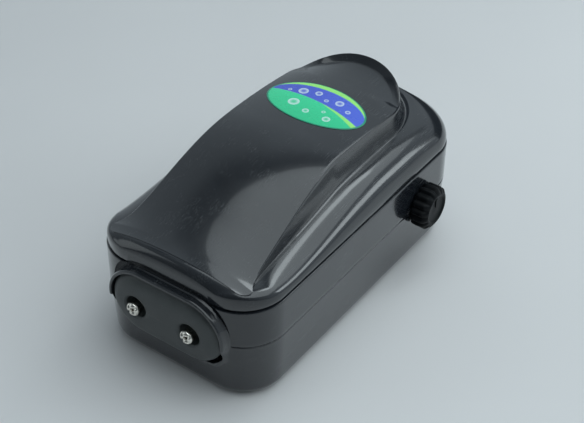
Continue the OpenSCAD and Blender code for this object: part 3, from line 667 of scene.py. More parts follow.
def build_base_tray():
    cradle = clipped(cradle_shape(), (-HALF_W, FAR_Y, 0), (HALF_W, 0, SEAM_Z - 0.02))
    bosses = [post(4.2, BASE_Z + 1, SEAM_Z - 0.1, p) for p in SCREWS]
    bosses += [post(7, BASE_Z + 1, BASE_Z + 3.4, p) for p in FEET]
    bosses += [post(4, BASE_Z + 1, FLOOR_Z + 1.1, p) for p in MOUNTS]
    bosses += [post(INTAKE_R + 1.6, BASE_Z + 1, 8, (0, INTAKE_Y), 64)]
    bosses += [block((s * BOARD_X - 2.5, BOARD_Y[0], FLOOR_Z - 1),
                     (s * BOARD_X + 2.5, BOARD_Y[1], 25)) for s in (1, -1)]
    cuts = [turned([(3.1, BASE_Z - 1), (3.1, BASE_Z + 8), (1.6, BASE_Z + 8), (1.6, SEAM_Z + 1)],
                   "z", (*p, 0), 40) for p in SCREWS]
    cuts += [post(5.6, BASE_Z - 1, BASE_Z + 1.5, p, 56) for p in FEET]
    cuts += [post(1.2, FLOOR_Z - 1, 12, p, 24) for p in MOUNTS]
    cuts += [post(INTAKE_R + 0.1, BASE_Z - 1, 12, (0, INTAKE_Y), 80)]
    cuts += [turned([(BUSHING_R, HALF_W - 8), (BUSHING_R, HALF_W + 1)], "x", (0, KNOB_Y, KNOB_Z))]
    cuts += [turned([(4.1, HALF_L - 12), (4.1, HALF_L + 2)], "y", (CORD_X, 0, CORD_Z))]
    cuts += [block((-BOARD_X + 1, BOARD_Y[0] + 1.9, 20), (BOARD_X - 1, BOARD_Y[1] - 0.7, 26))]
    add_piece("base_tray", base_shell_shape(), "casing", "base_shell", (JOIN, cradle),
              (CUT, plate_hole(cradle_gap(EDGE[:, 1]))), (JOIN, *bosses), (CUT, *cuts))


# ---- Outlets ----


def build_outlet_plate():
    """Soft pillow-faced plate with two sockets."""
    root_y = PLATE_FACE_Y + 4.5
    rings = [plate_ring(-1.0, PLATE_BACK_Y), plate_ring(0, PLATE_BACK_Y - 1)]
    for inset in 13.4 * np.linspace(0, 1, 34) ** 1.7:
        u = inset / PLATE_HALF_H
        bulge = (1 - (1 - u) ** 3.4) ** (1 / 2.2)
        rings.append(plate_ring(-inset, root_y + (PLATE_FACE_Y - root_y) * bulge))
    face = PLATE_FACE_Y + 0.25
    section = [(NOZZLE_R + 0.05, PLATE_BACK_Y + 2), (NOZZLE_R + 0.05, SOCKET_FLOOR_Y),
               (SOCKET_R, SOCKET_FLOOR_Y), (SOCKET_R, face + 1.0), (SOCKET_R + 0.12, face + 0.5),
               (SOCKET_R + 0.45, face + 0.15), (SOCKET_R + 0.9, face - 0.1),
               (SOCKET_R + 1.6, face - 0.35), (SOCKET_R + 1.6, face - 3)]
    sockets = [turned(section, "y", (x, 0, PLATE_MID_Z)) for x in (OUTLET_X, -OUTLET_X)]
    add_piece("outlet_panel", solid(rings), "plate", "outlet_plate", (CUT, *sockets))


def build_nozzle(side):
    """Nickel spigot whose rounded tip is split into four lobes."""
    sign = 1 if side == "right" else -1
    tip, tail = span(f"nozzle_{side}", 1)
    section = [(1.3, tail), (2.0, tail), (2.0, tail - 8), (2.55, tail - 8), (2.6, SOCKET_FLOOR_Y),
               (3.3, SOCKET_FLOOR_Y), (3.4, SOCKET_FLOOR_Y - 0.1), (3.4, SOCKET_FLOOR_Y - 1.4),
               (3.3, SOCKET_FLOOR_Y - 1.5), (2.6, SOCKET_FLOOR_Y - 1.5), (2.6, tip + 4.2),
               (2.5, tip + 3.4), (2.5, tip + 2.9), (2.75, tip + 2.3), (2.85, tip + 1.9)]
    section += [(1.55 + 1.3 * math.cos(a), tip + 1.3 * (1 - math.sin(a)))
                for a in sweep(0, 90, 12)]
    section += [(1.3, tip + 0.02), (1.05, tip + 0.12), (0.85, tip + 0.35), (0.75, tip + 0.8),
                (0.75, tip + 2.5), (1.3, tip + 3.5)]
    turn = full_turn(96)
    rings = []
    for radius, y in section:
        x, z = radius * np.cos(turn), radius * np.sin(turn)
        across_slot = np.minimum(np.abs(x + z), np.abs(x - z)) / math.sqrt(2)
        slot = 0.6 * np.exp(-(across_slot / 0.5) ** 2) * smooth((tip + 1.6 - y) / 1.4)
        rings.append(np.column_stack([x + sign * OUTLET_X, y + slot, z + PLATE_MID_Z]))
    add_piece(f"air_nozzle_{side}", loft(rings, wrap=True), "nickel", f"nozzle_{side}")


# ---- Knob ----


def build_knob():
    """Ribbed control knob with a dished end face and a raised pointer bar."""
    x0, x1 = span("flow_knob", 0)
    barrel = x1 - 1.9
    section = [(3.0, x1 - 1.6), (3.0, x0 + 3), (6.9, x0 + 3), (7.0, x0), (8.7, x0),
               (9.2, x0 + 0.12), (9.45, x0 + 0.45), (KNOB_R, x0 + 1.0), (KNOB_R, x0 + 2.4),
               (KNOB_R, x0 + 3.8), (KNOB_R, barrel - 0.5), (KNOB_R - 0.1, barrel),
               (KNOB_R - 0.4, barrel + 0.45), (KNOB_R - 0.95, barrel + 0.95),
               (KNOB_R - 1.6, barrel + 1.4), (KNOB_R - 2.1, barrel + 1.7),
               (KNOB_R - 2.6, x1), (KNOB_R - 3.2, x1 - 0.02), (KNOB_R - 3.55, x1 - 0.15),
               (KNOB_R - 3.8, x1 - 0.45), (KNOB_R - 4.1, x1 - 0.6), (2.4, x1 - 0.62),
               (0.6, x1 - 0.55)]
    depth = [0, 0, 0, 0, 0.05, 0.1, 0.1, 0.1, 0.1, 0.1, 0.1, 0.1, 0.1, 0.09, 0.065, 0.03] + [0] * 9

    def ribs(turn, k):
        valley = (0.5 + 0.5 * np.cos(KNOB_RIBS * turn)) ** 1.6
        return 1 - depth[k] * valley

    shape = turned(section, "x", (0, KNOB_Y, KNOB_Z), KNOB_RIBS * 20, ribs)
    bar = block((x1 - 0.9, KNOB_Y - 0.55, KNOB_Z + 1.2), (x1 - 0.25, KNOB_Y + 0.55, KNOB_Z + 5.2))
    add_piece("control_knob", shape, "knob", "flow_knob", (JOIN, bar), body="knob", angle=30)


# ---- Diaphragms ----


def build_diaphragm(side):
    """Rubber diaphragm in two pieces: the hub moves with the arm inside the clamped rolled fold."""
    node = f"diaphragm_{side}"
    low, high = box_mm(node)
    sign = 1 if side == "right" else -1
    rim_x = min(abs(low[0]), abs(high[0]))
    hub_high = max(abs(low[0]), abs(high[0])) - rim_x
    rim_r = (high[2] - low[2]) / 2
    origin = (0, (low[1] + high[1]) / 2, (low[2] + high[2]) / 2)

    def piece(name, section, body):
        section = [(radius, sign * (rim_x + along)) for radius, along in section]
        add_piece(name, turned(section, "x", origin, wrap=True), "rubber", node, body=body)

    piece(f"diaphragm_hub_{side}",
          [(1.5, 0.5), (HUB_R - 0.2, 0.5), (HUB_R, 0.7), (HUB_R, hub_high - 0.3),
           (HUB_R - 0.3, hub_high), (1.5, hub_high)], f"{side}_arm")
    fold = [(HUB_R + HUB_GAP, 0.9)]
    fold += [(8.2 + 2 * math.cos(a), 1 + math.sin(a)) for a in sweep(165, 0, 16)]
    fold += [(10.2, 0.15), (10.35, 0), (rim_r, 0), (rim_r, 1), (11.2, 1)]
    fold += [(8.2 + 3 * math.cos(a), 1 + 1.6 * math.sin(a))
             for a in sweep(10, 165, 20)]
    fold += [(HUB_R + HUB_GAP, 1.7)]
    piece(f"diaphragm_fold_{side}", fold, "casing")


# ---- Label, cord and underside ----


def build_label():
    """Thin oval sticker that follows the top."""
    turn = full_turn(120)

    def oval(k, lift):
        x = LABEL_C[0] + (LABEL_A - k) * np.cos(turn)
        y = LABEL_C[1] + (LABEL_B - k) * np.sin(turn)
        return np.column_stack([x, y, top_height(x, y) + lift])

    insets = LABEL_B * np.linspace(0, 1, 12)[1:-1] ** 1.1
    rings = [oval(k, 0.02) for k in (*insets[::-1], 0.03)]
    rings += [oval(0, 0.08), oval(0.02, 0.17), oval(0.1, 0.22), oval(0.3, 0.24)]
    rings += [oval(k, 0.24) for k in insets]
    add_piece("oval_label", solid(rings), "sticker", "label")


def build_cord():
    """Round flex: straight out of the rear wall, then two arcs down to the floor."""
    bend = 20.0
    start, end = span("power_cord", 1)
    straight_end = HALF_L + 16
    turn_angle = math.acos(1 - (CORD_Z - CORD_R) / (2 * bend))
    run = bend * math.sin(turn_angle)
    path = [(y, CORD_Z, 0.0) for y in np.linspace(start + 0.4, straight_end, 12)]
    for a in np.linspace(0, turn_angle, 15)[1:]:
        path.append((straight_end + bend * math.sin(a), CORD_Z - bend * (1 - math.cos(a)), -a))
    for a in np.linspace(turn_angle, 0, 15)[1:]:
        path.append((straight_end + 2 * run - bend * math.sin(a),
                     CORD_R + bend * (1 - math.cos(a)), -a))
    path.append((end - 0.5, CORD_R, 0.0))
    turn = full_turn(48)

    def section(y, z, pitch, radius):
        u, v = radius * np.cos(turn), radius * np.sin(turn)
        return np.column_stack([CORD_X + u, y - v * math.sin(pitch), z + v * math.cos(pitch)])

    rings = [section(start, CORD_Z, 0, CORD_R - 0.4)]
    rings += [section(*p, CORD_R) for p in path]
    rings += [section(end - 0.1, CORD_R, 0, CORD_R - 0.2),
              section(end, CORD_R, 0, CORD_R - 0.5)]
    add_piece("mains_cord", solid(rings), "flex", "power_cord")


def build_strain_relief():
    """Ribbed sleeve round the cord, with a flange in the casing's wall."""
    outer = HALF_L + 0.6
    section = [(CORD_R + 0.02, HALF_L - 6), (4.8, HALF_L - 6), (5.0, HALF_L - 5.8),
               (5.0, HALF_L - 4.6), (4.8, HALF_L - 4.4), (4.0, HALF_L - 4.4), (4.0, outer - 0.3),
               (5.2, outer - 0.3), (5.4, outer), (5.4, outer + 1.5), (5.3, outer + 1.85),
               (5.0, outer + 2), (3.6, outer + 2.1)]
    for i in range(4):
        at, r = outer + 2 + 3 * i, 4.5 - 0.2 * i
        section += [(3.5, at + 0.3), (3.5, at + 0.85), (r - 0.2, at + 1.05), (r, at + 1.25),
                    (r, at + 2.6), (r - 0.2, at + 2.85), (3.5, at + 2.98)]
    end = span("strain_relief", 1)[1]
    section = section[:-1] + [(3.7, end - 0.02), (3.0, end), (CORD_R + 0.02, end - 0.2)]
    shape = turned(section, "y", (CORD_X, 0, CORD_Z), 64, wrap=True)
    add_piece("cord_sleeve", shape, "flex", "strain_relief")


def build_feet():
    section = [(3.6, 0.25), (4.2, 0.0), (5.0, 0.0), (5.35, 0.15), (5.85, 0.7), (FOOT_R, 1.0),
               (FOOT_R, 1.6), (5.9, 1.85), (5.7, BASE_Z - 0.05), (5.4, BASE_Z - 0.05),
               (5.4, BASE_Z + 1.3), (5.2, BASE_Z + 1.5)]
    shapes = [turned(section, "z", (*p, 0), 64) for p in FEET]
    add_piece("foot_pads", join_shapes(*shapes), "rubber", "rubber_feet")


def build_screws():
    """Self-tapping pan screws, heads down in the base's recesses, with crossed slots."""
    low, high = span("case_screws", 2)
    section = [(0.3, low), (1.4, low + 0.05), (2.2, low + 0.35), (2.7, low + 0.9),
               (SCREW_R, low + 1.5), (SCREW_R, low + 2.2), (1.1, low + 2.2)]
    for z in np.arange(low + 3.4, high - 2.2, 1.3):
        section += [(0.85, z - 0.45), (1.1, z), (0.85, z + 0.45)]
    section += [(0.85, high - 1.6), (0.15, high)]
    shapes = [turned(section, "z", (*p, 0), 32) for p in SCREWS]
    slots = [(CUT, *(block((x - dx, y - dy, low - 1), (x + dx, y + dy, low + 1))
                     for x, y in SCREWS)) for dx, dy in ((1.5, 0.32), (0.32, 1.5))]
    add_piece("case_screw_set", join_shapes(*shapes), "steel", "case_screws", *slots)


def build_intake_cover():
    """Round cover with five rounded slots."""
    r = INTAKE_R
    z0, z1 = span("intake_cover", 2)
    section = [(r - 0.35, z0), (r - 0.1, z0 + 0.1), (r, z0 + 0.35), (r, z1 - 0.2), (r - 0.2, z1)]
    slots = []
    for i in range(-2, 3):
        half = 7.0 if abs(i) < 2 else 5.6
        ends = [(i * 3.4 + 0.7 * math.cos(a), INTAKE_Y + s * half + 0.7 * s * math.sin(a))
                for s in (1, -1) for a in sweep(0, 180, 9)[::s]]
        low = [(x, y, z0 - 1) for x, y in ends]
        high = [(x, y, z1 + 1) for x, y in ends]
        slots.append(solid([low, high]))
    add_piece("intake_grille", turned(section, "z", (0, INTAKE_Y, 0)), "abs_grey", "intake_cover",
              (CUT, *slots))


build_upper_cover()
build_base_tray()
build_outlet_plate()
for side in ("left", "right"):
    build_nozzle(side)
    build_diaphragm(side)
build_knob()
build_label()
build_cord()
build_strain_relief()
build_feet()
build_screws()
build_intake_cover()


# ---- Materials ----


class Nodes:
    """Shorthand for building a material or world; coords are the object's own, in metres."""

    def __init__(self, name, kind="materials"):
        self.owner = getattr(bpy.data, kind).new(name)
        self.owner.use_nodes = True
        self.tree = self.owner.node_tree
        self.shader = self.tree.nodes.get("Principled BSDF")
        self.coords = self.node("TexCoord").outputs["Object"]

    def link(self, source, target):
        if hasattr(source, "links"):
            self.tree.links.new(source, target)
        elif hasattr(source, "__len__") and len(source) == 3 and target.type == "RGBA":
            target.default_value = (*source, 1)
        else:
            target.default_value = source

    def node(self, kind, inputs=None, **settings):
        made = self.tree.nodes.new("ShaderNode" + kind)
        for key, value in settings.items():
            setattr(made, key, value)
        for key, value in (inputs or {}).items():
            self.link(value, made.inputs[key])
        return made

    def math(self, operation, a, b=0.0, clamp=False):
        made = self.node("Math", {0: a, 1: b}, operation=operation, use_clamp=clamp)
        return made.outputs[0]

    def times(self, a, b):
        return self.math("MULTIPLY", a, b)

    def plus(self, a, b):
        return self.math("ADD", a, b)

    def minus(self, a, b):
        return self.math("SUBTRACT", a, b)

    def square_sum(self, a, b):
        return self.plus(self.times(a, a), self.times(b, b))

    def scaled(self, scale, turn=(0, 0, 0)):
        angles = tuple(math.radians(t) for t in turn)
        made = self.node("Mapping", {"Vector": self.coords, "Scale": scale, "Rotation": angles})
        return made.outputs[0]

    def noise(self, scale, detail=4.0, rough=0.55, vector=None):
        inputs = {"Vector": vector or self.coords, "Scale": scale, "Detail": detail,
                  "Roughness": rough}
        return self.node("TexNoise", inputs).outputs["Fac"]

    def ramp(self, value, low, high, out_low=0.0, out_high=1.0):
        inputs = {"Value": value, "From Min": low, "From Max": high, "To Min": out_low,
                  "To Max": out_high}
        return self.node("MapRange", inputs, interpolation_type="SMOOTHSTEP").outputs[0]

    def mix(self, factor, a, b):
        made = self.node("Mix", data_type="RGBA")
        self.link(factor, made.inputs["Factor"])
        for value, socket in ((a, made.inputs[6]), (b, made.inputs[7])):
            self.link(value, socket)
        return made.outputs[2]

    def bump(self, height, distance, strength=1.0, normal=None):
        inputs = {"Height": height, "Distance": distance, "Strength": strength}
        if normal:
            inputs["Normal"] = normal
        return self.node("Bump", inputs).outputs[0]

    def scratches(self, turn, scale=22.0, stretch=60.0, width=0.012):
        """Thin broken lines: 1 in the scratch, 0 elsewhere."""
        vector = self.scaled((stretch, 1.0, stretch * 0.6), turn)
        line = self.noise(scale, 2.0, 0.5, vector)
        near = self.math("ABSOLUTE", self.minus(line, 0.5))
        thin = self.ramp(near, 0.0, width, 1.0, 0.0)
        patches = self.ramp(self.noise(90.0, 2.0, 0.5, self.scaled((1, 1, 1), turn)), 0.56, 0.66)
        return self.times(thin, patches)

    def done(self, color, rough, normal=None, metal=0.0, coat=0.0, coat_rough=0.05, sheen=0.0,
             specular=0.5):
        inputs = self.shader.inputs
        for key, value in (("Base Color", color), ("Roughness", rough), ("Metallic", metal),
                           ("Coat Weight", coat), ("Coat Roughness", coat_rough),
                           ("Sheen Weight", sheen), ("Specular IOR Level", specular)):
            self.link(value, inputs[key])
        if normal:
            self.link(normal, inputs["Normal"])
        return self.owner


def casing_material():
    """Glossy dark ABS: soft moulding waves, fine scratches, and a little dust."""
    n = Nodes("casing_gloss")
    cloud = n.noise(45.0, 5.0, 0.6)
    tint = n.mix(n.ramp(cloud, 0.35, 0.65), (0.010, 0.0125, 0.0165), (0.0135, 0.0165, 0.021))
    scuff = n.math("MAXIMUM", n.scratches((0, 0, 32)), n.scratches((0, 0, -55), 18.0, 70.0))
    scuff = n.math("MAXIMUM", scuff, n.scratches((20, 10, 80), 14.0, 50.0, 0.01))
    dust = n.ramp(n.noise(2600.0, 1.0, 0.4), 0.735, 0.79)
    dust = n.times(dust, n.ramp(n.noise(70.0, 3.0), 0.45, 0.62))
    marks = n.math("MAXIMUM", n.times(scuff, 0.35), n.times(dust, 0.5))
    color = n.mix(marks, tint, (0.13, 0.135, 0.14))
    haze = n.ramp(n.noise(28.0, 6.0, 0.65), 0.3, 0.75, 0.15, 0.24)
    rough = n.math("ADD", haze, n.times(marks, 0.5), clamp=True)
    waves = n.bump(n.noise(95.0, 2.0, 0.4), 0.00006, 0.35)
    grain = n.bump(n.noise(2200.0, 2.0, 0.5), 0.000006, 0.35, waves)
    normal = n.bump(n.times(marks, -1.0), 0.00002, 0.6, grain)
    return n.done(color, rough, normal, coat=0.6, coat_rough=0.06)


def moulded(name, low, high, rough, grain_scale=1600.0, grain=0.00003, coat=0.0,
                     specular=0.5):
    """Moulded plastic or rubber: mottled colour, uneven roughness and a fine spark grain."""
    n = Nodes(name)
    mottle = n.noise(120.0, 5.0, 0.6)
    color = n.mix(n.ramp(mottle, 0.3, 0.7), low, high)
    fleck = n.ramp(n.noise(grain_scale * 0.7, 1.0), 0.68, 0.8)
    color = n.mix(n.times(fleck, 0.15), color, tuple(min(1, c * 2 + 0.04) for c in high))
    uneven = n.ramp(n.noise(60.0, 4.0), 0.3, 0.7, rough - 0.06, rough + 0.06)
    soft = n.bump(n.noise(200.0, 2.0), 0.00005, 0.25)
    normal = n.bump(n.noise(grain_scale, 3.0, 0.6), grain, 0.6, soft)
    return n.done(color, uneven, normal, coat=coat, specular=specular)


def metal(name, color, rough, brushed=0.0):
    """Plated or brushed metal with faint tarnish and fine lines."""
    n = Nodes(name)
    tarnish = n.ramp(n.noise(260.0, 5.0, 0.65), 0.45, 0.75)
    dull = tuple(c * 0.62 for c in color)
    tint = n.mix(n.times(tarnish, 0.45), color, dull)
    lines = n.noise(300.0, 3.0, 0.6, n.scaled((0.05, 1.0, 6.0)))
    uneven = n.ramp(n.noise(400.0, 4.0), 0.3, 0.7, rough * 0.75, rough * 1.35)
    normal = n.bump(lines, 0.00002, 0.15 + brushed)
    return n.done(tint, uneven, normal, metal=1.0)


def winding_material():
    """Enamelled copper wire laid side by side round the bobbin, with painted shade in the grooves
    between the turns.
    """
    n = Nodes("copper_winding")
    wave = n.node("TexWave", {"Vector": n.coords, "Scale": 620.0, "Distortion": 0.4,
                              "Detail": 1.0, "Detail Scale": 2.0}, bands_direction="X").outputs[1]
    tint = n.mix(n.ramp(n.noise(240.0, 4.0), 0.35, 0.7), (0.5, 0.17, 0.05), (0.66, 0.28, 0.1))
    # Painted shade: the colour darkens to a deep brown in the wave's low bands, the grooves between
    # the wire turns.
    color = n.mix(n.ramp(wave, 0.0, 0.35, 0.7, 0.0), tint, (0.1, 0.03, 0.01))
    return n.done(color, 0.28, n.bump(wave, 0.0002, 0.8), metal=0.75, coat=0.5)


def lamination_material():
    """Varnished sheet stack: horizontal sheet edges with uneven varnish."""
    n = Nodes("sheet_stack")
    wave = n.node("TexWave", {"Vector": n.coords, "Scale": 320.0, "Distortion": 0.2},
                  bands_direction="Z").outputs[1]
    tint = n.mix(n.ramp(n.noise(150.0, 5.0), 0.35, 0.7), (0.11, 0.115, 0.12), (0.24, 0.25, 0.26))
    color = n.mix(n.ramp(wave, 0.0, 0.25, 0.6, 0.0), tint, (0.03, 0.03, 0.03))
    rough = n.ramp(n.noise(90.0, 3.0), 0.3, 0.7, 0.32, 0.5)
    return n.done(color, rough, n.bump(wave, 0.0001, 0.5), metal=0.6)


def board_material():
    """Green solder mask with copper tracks under it."""
    n = Nodes("circuit_board")
    cells = n.node("TexVoronoi", {"Vector": n.scaled((1, 1, 1)), "Scale": 260.0},
                   feature="DISTANCE_TO_EDGE").outputs["Distance"]
    track = n.ramp(cells, 0.03, 0.06, 1.0, 0.0)
    mask = n.mix(n.ramp(n.noise(80.0, 3.0), 0.3, 0.7), (0.02, 0.12, 0.05), (0.035, 0.18, 0.07))
    color = n.mix(n.times(track, 0.6), mask, (0.07, 0.33, 0.13))
    return n.done(color, 0.3, n.bump(track, 0.00004, 0.6), coat=0.4)


def felt_material():
    """Pale needled fibres."""
    n = Nodes("needled_felt")
    fibres = n.noise(900.0, 8.0, 0.75, n.scaled((1.0, 0.35, 1.0), (0, 0, 25)))
    color = n.mix(n.ramp(fibres, 0.3, 0.7), (0.58, 0.56, 0.5), (0.84, 0.82, 0.76))
    return n.done(color, 0.95, n.bump(fibres, 0.0004, 0.9), sheen=0.4)


def hose_material():
    """Milky silicone tube."""
    n = Nodes("silicone_hose")
    cloud = n.noise(110.0, 4.0)
    color = n.mix(n.ramp(cloud, 0.3, 0.7), (0.66, 0.69, 0.68), (0.8, 0.82, 0.8))
    n.link(0.25, n.shader.inputs["Transmission Weight"])
    return n.done(color, n.ramp(cloud, 0.3, 0.7, 0.32, 0.45), n.bump(cloud, 0.0001, 0.3))


def label_material():
    """Generic printed oval: green ground, a blue band, a lime stripe and pale bubbles.

    u and v run from -1 to 1 over the oval's length and width.
    """
    n = Nodes("label_print")
    place = n.node("SeparateXYZ", {"Vector": n.coords})
    u = n.math("DIVIDE", n.minus(place.outputs[0], LABEL_C[0] * MM), LABEL_A * MM)
    v = n.math("DIVIDE", n.minus(place.outputs[1], LABEL_C[1] * MM), LABEL_B * MM)
    bend = n.times(n.times(u, u), 0.24)
    level = n.plus(n.plus(v, bend), n.times(u, 0.14))
    flat_v = n.math("DIVIDE", v, 0.8)
    arch = n.square_sum(u, flat_v)
    stripe = n.times(n.math("MAXIMUM", u, 0.0), -0.2)
    green = n.mix(n.ramp(v, -1.0, 1.0), (0.02, 0.62, 0.28), (0.04, 0.8, 0.38))
    blue = n.mix(n.ramp(u, -1.0, 1.0), (0.06, 0.1, 0.6), (0.08, 0.15, 0.75))
    above = n.ramp(level, 0.1, 0.14)
    in_lime = n.times(n.ramp(n.minus(level, stripe), 0.1, 0.14),
                     n.ramp(u, 0.0, 0.25))
    color = n.mix(n.math("MAXIMUM", in_lime, above), green, (0.35, 0.9, 0.2))
    color = n.mix(n.times(above, n.ramp(arch, 0.95, 1.0, 1.0, 0.0)), color, blue)
    bubbles = [(-0.42, 0.36, 0.093), (-0.14, 0.5, 0.0682), (0.1, 0.3, 0.0434),
               (0.34, 0.42, 0.0806), (0.6, 0.2, 0.0496), (-0.66, 0.22, 0.0372),
               (-0.36, -0.3, 0.1054), (-0.02, -0.5, 0.062), (0.26, -0.24, 0.0372),
               (0.42, -0.5, 0.0744)]
    aspect = LABEL_B / LABEL_A
    for bu, bv, size in bubbles:
        du = n.minus(u, bu)
        dv = n.times(n.minus(v, bv), aspect)
        far = n.math("SQRT", n.square_sum(du, dv))
        rim = n.ramp(far, size * 0.2, size * 0.95, 0.1, 0.75)
        amount = n.times(rim, n.ramp(far, size * 0.92, size * 1.1, 1.0, 0.0))
        color = n.mix(amount, color, (0.78, 0.92, 0.95))
    edge = n.math("SQRT", n.square_sum(u, v))
    color = n.mix(n.ramp(edge, 0.955, 0.975), color, (0.01, 0.3, 0.17))
    rough = n.ramp(n.noise(180.0, 4.0), 0.3, 0.7, 0.2, 0.32)
    return n.done(color, rough, n.bump(n.noise(400.0, 2.0), 0.00003, 0.3), coat=0.15)


MATERIALS = {
    "casing": casing_material(),
    "plate": moulded("plate_satin", (0.042, 0.048, 0.049), (0.053, 0.06, 0.061), 0.42,
                              1300.0),
    "knob": moulded("knob_matt", (0.003, 0.004, 0.005), (0.005, 0.006, 0.007), 0.45,
                             specular=0.12),
    "nickel": metal("bright_nickel", (0.78, 0.75, 0.68), 0.16),
    "steel": metal("zinc_steel", (0.62, 0.63, 0.64), 0.3, 0.2),
    "rubber": moulded("black_rubber", (0.018, 0.018, 0.019), (0.035, 0.035, 0.036), 0.75,
                               900.0, 0.00006),
    "red_rubber": moulded("red_silicone", (0.32, 0.05, 0.03), (0.46, 0.09, 0.05), 0.55),
    "hose": hose_material(),
    "abs_grey": moulded("grey_moulding", (0.05, 0.054, 0.058), (0.085, 0.09, 0.095), 0.5),
    "bobbin": moulded("nylon_bobbin", (0.66, 0.62, 0.52), (0.8, 0.77, 0.68), 0.45),
    "copper": winding_material(),
    "lamination": lamination_material(),
    "magnet": moulded("ferrite", (0.03, 0.03, 0.033), (0.06, 0.06, 0.064), 0.6, 1900.0),
    "board": board_material(),
    "component_red": moulded("red_capacitor", (0.26, 0.03, 0.02), (0.36, 0.05, 0.04), 0.3,
                                      coat=0.4),
    "component_black": moulded("black_package", (0.012, 0.012, 0.012),
                                        (0.025, 0.025, 0.025), 0.5),
    "flex": moulded("flex_sheath", (0.01, 0.0105, 0.011), (0.018, 0.019, 0.02), 0.5,
                             800.0, 0.00004),
    "felt": felt_material(),
    "sticker": label_material(),
}

cad_slot = {s["node"]: s["material_slot"] for s in frame["record"]["subparts"]}
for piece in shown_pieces():
    name = piece.get("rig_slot") or cad_slot[piece["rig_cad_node"]]
    if piece.data.materials:
        for k in range(len(piece.data.materials)):
            piece.data.materials[k] = MATERIALS[name]
    else:
        piece.data.materials.append(MATERIALS[name])


# ---- Camera, floor and lights ----

CAMERA_TURN, CAMERA_RISE, CAMERA_ROLL = 35.17, 38.85, 0.64  # degrees
CAMERA_FAR, CAMERA_LENS = 542.5, 81.5
CAMERA_TARGET = (2.32, 1.83, 30.8)
ROOM_COLOR = (0.31, 0.355, 0.385)
ROOM_FRONT, ROOM_BACK = 0.32, 1.55  # strength towards the viewer's side and away from it
ROOM_FROM, ROOM_TO = -0.97, 0.9  # the directions, as a share of +Y, between which it changes
BOX_COLOR = (0.88, 0.97, 1.0)
BOX_SPIN = math.radians(-32)
BOX_CORNER = np.array([-290.0, 20.0])
BOX_W, BOX_L, BOX_Z = 900.0, 900.0, 600.0
BOX_ACROSS = np.array([math.cos(BOX_SPIN), math.sin(BOX_SPIN)])
BOX_ALONG = np.array([-math.sin(BOX_SPIN), math.cos(BOX_SPIN)])
FLAG_W, FLAG_Z = 180.0, BOX_Z + 10


def place(obj, location, target, roll=0.0):
    """Puts an object in millimetres, with its -Z axis towards the target."""
    bpy.context.scene.collection.objects.link(obj)
    obj.location = Vector(location) * MM
    direction = Vector(target) * MM - obj.location
    obj.rotation_mode = "QUATERNION"
    turn = direction.to_track_quat("-Z", "Y")
    obj.rotation_quaternion = turn @ Quaternion((0, 0, 1), math.radians(roll))


def make_camera():
    azimuth, elevation = math.radians(CAMERA_TURN), math.radians(CAMERA_RISE)
    target = Vector(CAMERA_TARGET)
    back = Vector((math.sin(azimuth) * math.cos(elevation),
                   -math.cos(azimuth) * math.cos(elevation), math.sin(elevation)))
    camera = bpy.data.objects.new("camera", bpy.data.cameras.new("camera"))
    camera.data.sensor_width = 36
    camera.data.lens = CAMERA_LENS
    camera.data.clip_start = 0.01
    place(camera, target + back * CAMERA_FAR, target, CAMERA_ROLL)
    bpy.context.scene.camera = camera


def make_floor():
    """Plain pale floor."""
    turn = full_turn(64)
    rings = [np.column_stack([radius * np.cos(turn), radius * np.sin(turn), np.zeros(64)])
             for radius in (200, 1000, 3000, 8000)]
    floor = make_object("floor", *loft(rings, caps=("first",)), body=None)
    n = Nodes("pale_floor")
    cloud = n.noise(3.0, 3.0)
    color = n.mix(n.ramp(cloud, 0.3, 0.7), (0.69, 0.69, 0.69), (0.73, 0.73, 0.73))
    floor.data.materials.append(n.done(color, 0.7, n.bump(n.noise(600.0), 0.0001, 0.1)))
    shade(floor)


def softbox(name, location, target, size, power, spin=0.0):
    """Rectangular area light; spin turns it about its own axis, in degrees."""
    light = bpy.data.lights.new(name, "AREA")
    light.shape = "RECTANGLE"
    light.size, light.size_y = (v * MM for v in size)
    light.energy = power
    light.color = BOX_COLOR
    place(bpy.data.objects.new(name, light), location, target, spin)


def box_point(across_mm, along_mm, z=BOX_Z):
    """A point from the overhead softbox's corner, along its two sides."""
    return (*(BOX_CORNER + BOX_ACROSS * across_mm + BOX_ALONG * along_mm), z)


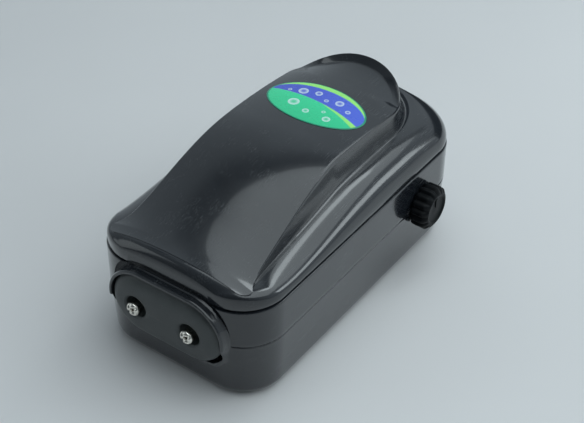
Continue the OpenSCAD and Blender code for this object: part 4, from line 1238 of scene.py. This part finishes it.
def make_card(name, corners, opacity, fade=False):
    """A dark cloth that only reflections see; fade thins it out away from the softbox."""
    card = make_object(name, corners, [(0, 1, 2, 3)], body=None)
    n = Nodes(name + "_cloth")
    cloth = n.noise(40.0, 3.0)
    color = n.mix(cloth, (0.006, 0.007, 0.008), (0.012, 0.013, 0.014))
    if fade:
        parts = n.node("SeparateXYZ", {"Vector": n.coords}).outputs
        offsets = [n.minus(parts[i], float(BOX_CORNER[i]) * MM) for i in (0, 1)]
        beside = n.plus(*(n.times(offsets[i], -float(BOX_ACROSS[i])) for i in (0, 1)))
        n.link(n.ramp(beside, 0.04, FLAG_W * MM, opacity, 0.0), n.shader.inputs["Alpha"])
    else:
        n.shader.inputs["Alpha"].default_value = opacity
    card.data.materials.append(n.done(color, 0.9, n.bump(cloth, 0.0001, 0.2)))
    card.visible_camera = card.visible_shadow = card.visible_diffuse = False


def make_world():
    """Soft grey room, darker towards the viewer's side of the horizon."""
    n = Nodes("world", "worlds")
    bpy.context.scene.world = n.owner
    facing = n.node("SeparateXYZ", {0: n.node("TexCoord").outputs["Generated"]}).outputs["Y"]
    strength = n.ramp(facing, ROOM_FROM, ROOM_TO, ROOM_FRONT, ROOM_BACK)
    for key, value in (("Color", ROOM_COLOR), ("Strength", strength)):
        n.link(value, n.tree.nodes["Background"].inputs[key])


make_camera()
make_floor()
make_world()
centre = box_point(BOX_W / 2, BOX_L / 2)
softbox("overhead", centre, (*centre[:2], 0), (BOX_W, BOX_L), 3.1, math.degrees(BOX_SPIN))
softbox("tube", (50, 370, 590), (50, 370, 0), (120, 300), 0.32, -12)
softbox("right_strip", (840, 744, 430), (0, 0, 50), (420, 260), 1.2)
softbox("front_left", (-483, -434, 300), (0, 0, 50), (320, 380), 0.3)
flag_corners = ((-FLAG_W, -200), (0, -200), (0, 1000), (-FLAG_W, 1000))
make_card("side_flag", [box_point(*corner, FLAG_Z) for corner in flag_corners], 0.85, fade=True)
make_card("rear_flag", [(-500, 900, 20), (650, 900, 20), (650, 900, 420), (-500, 900, 420)], 0.95)
bpy.context.scene.view_settings.view_transform = "Standard"
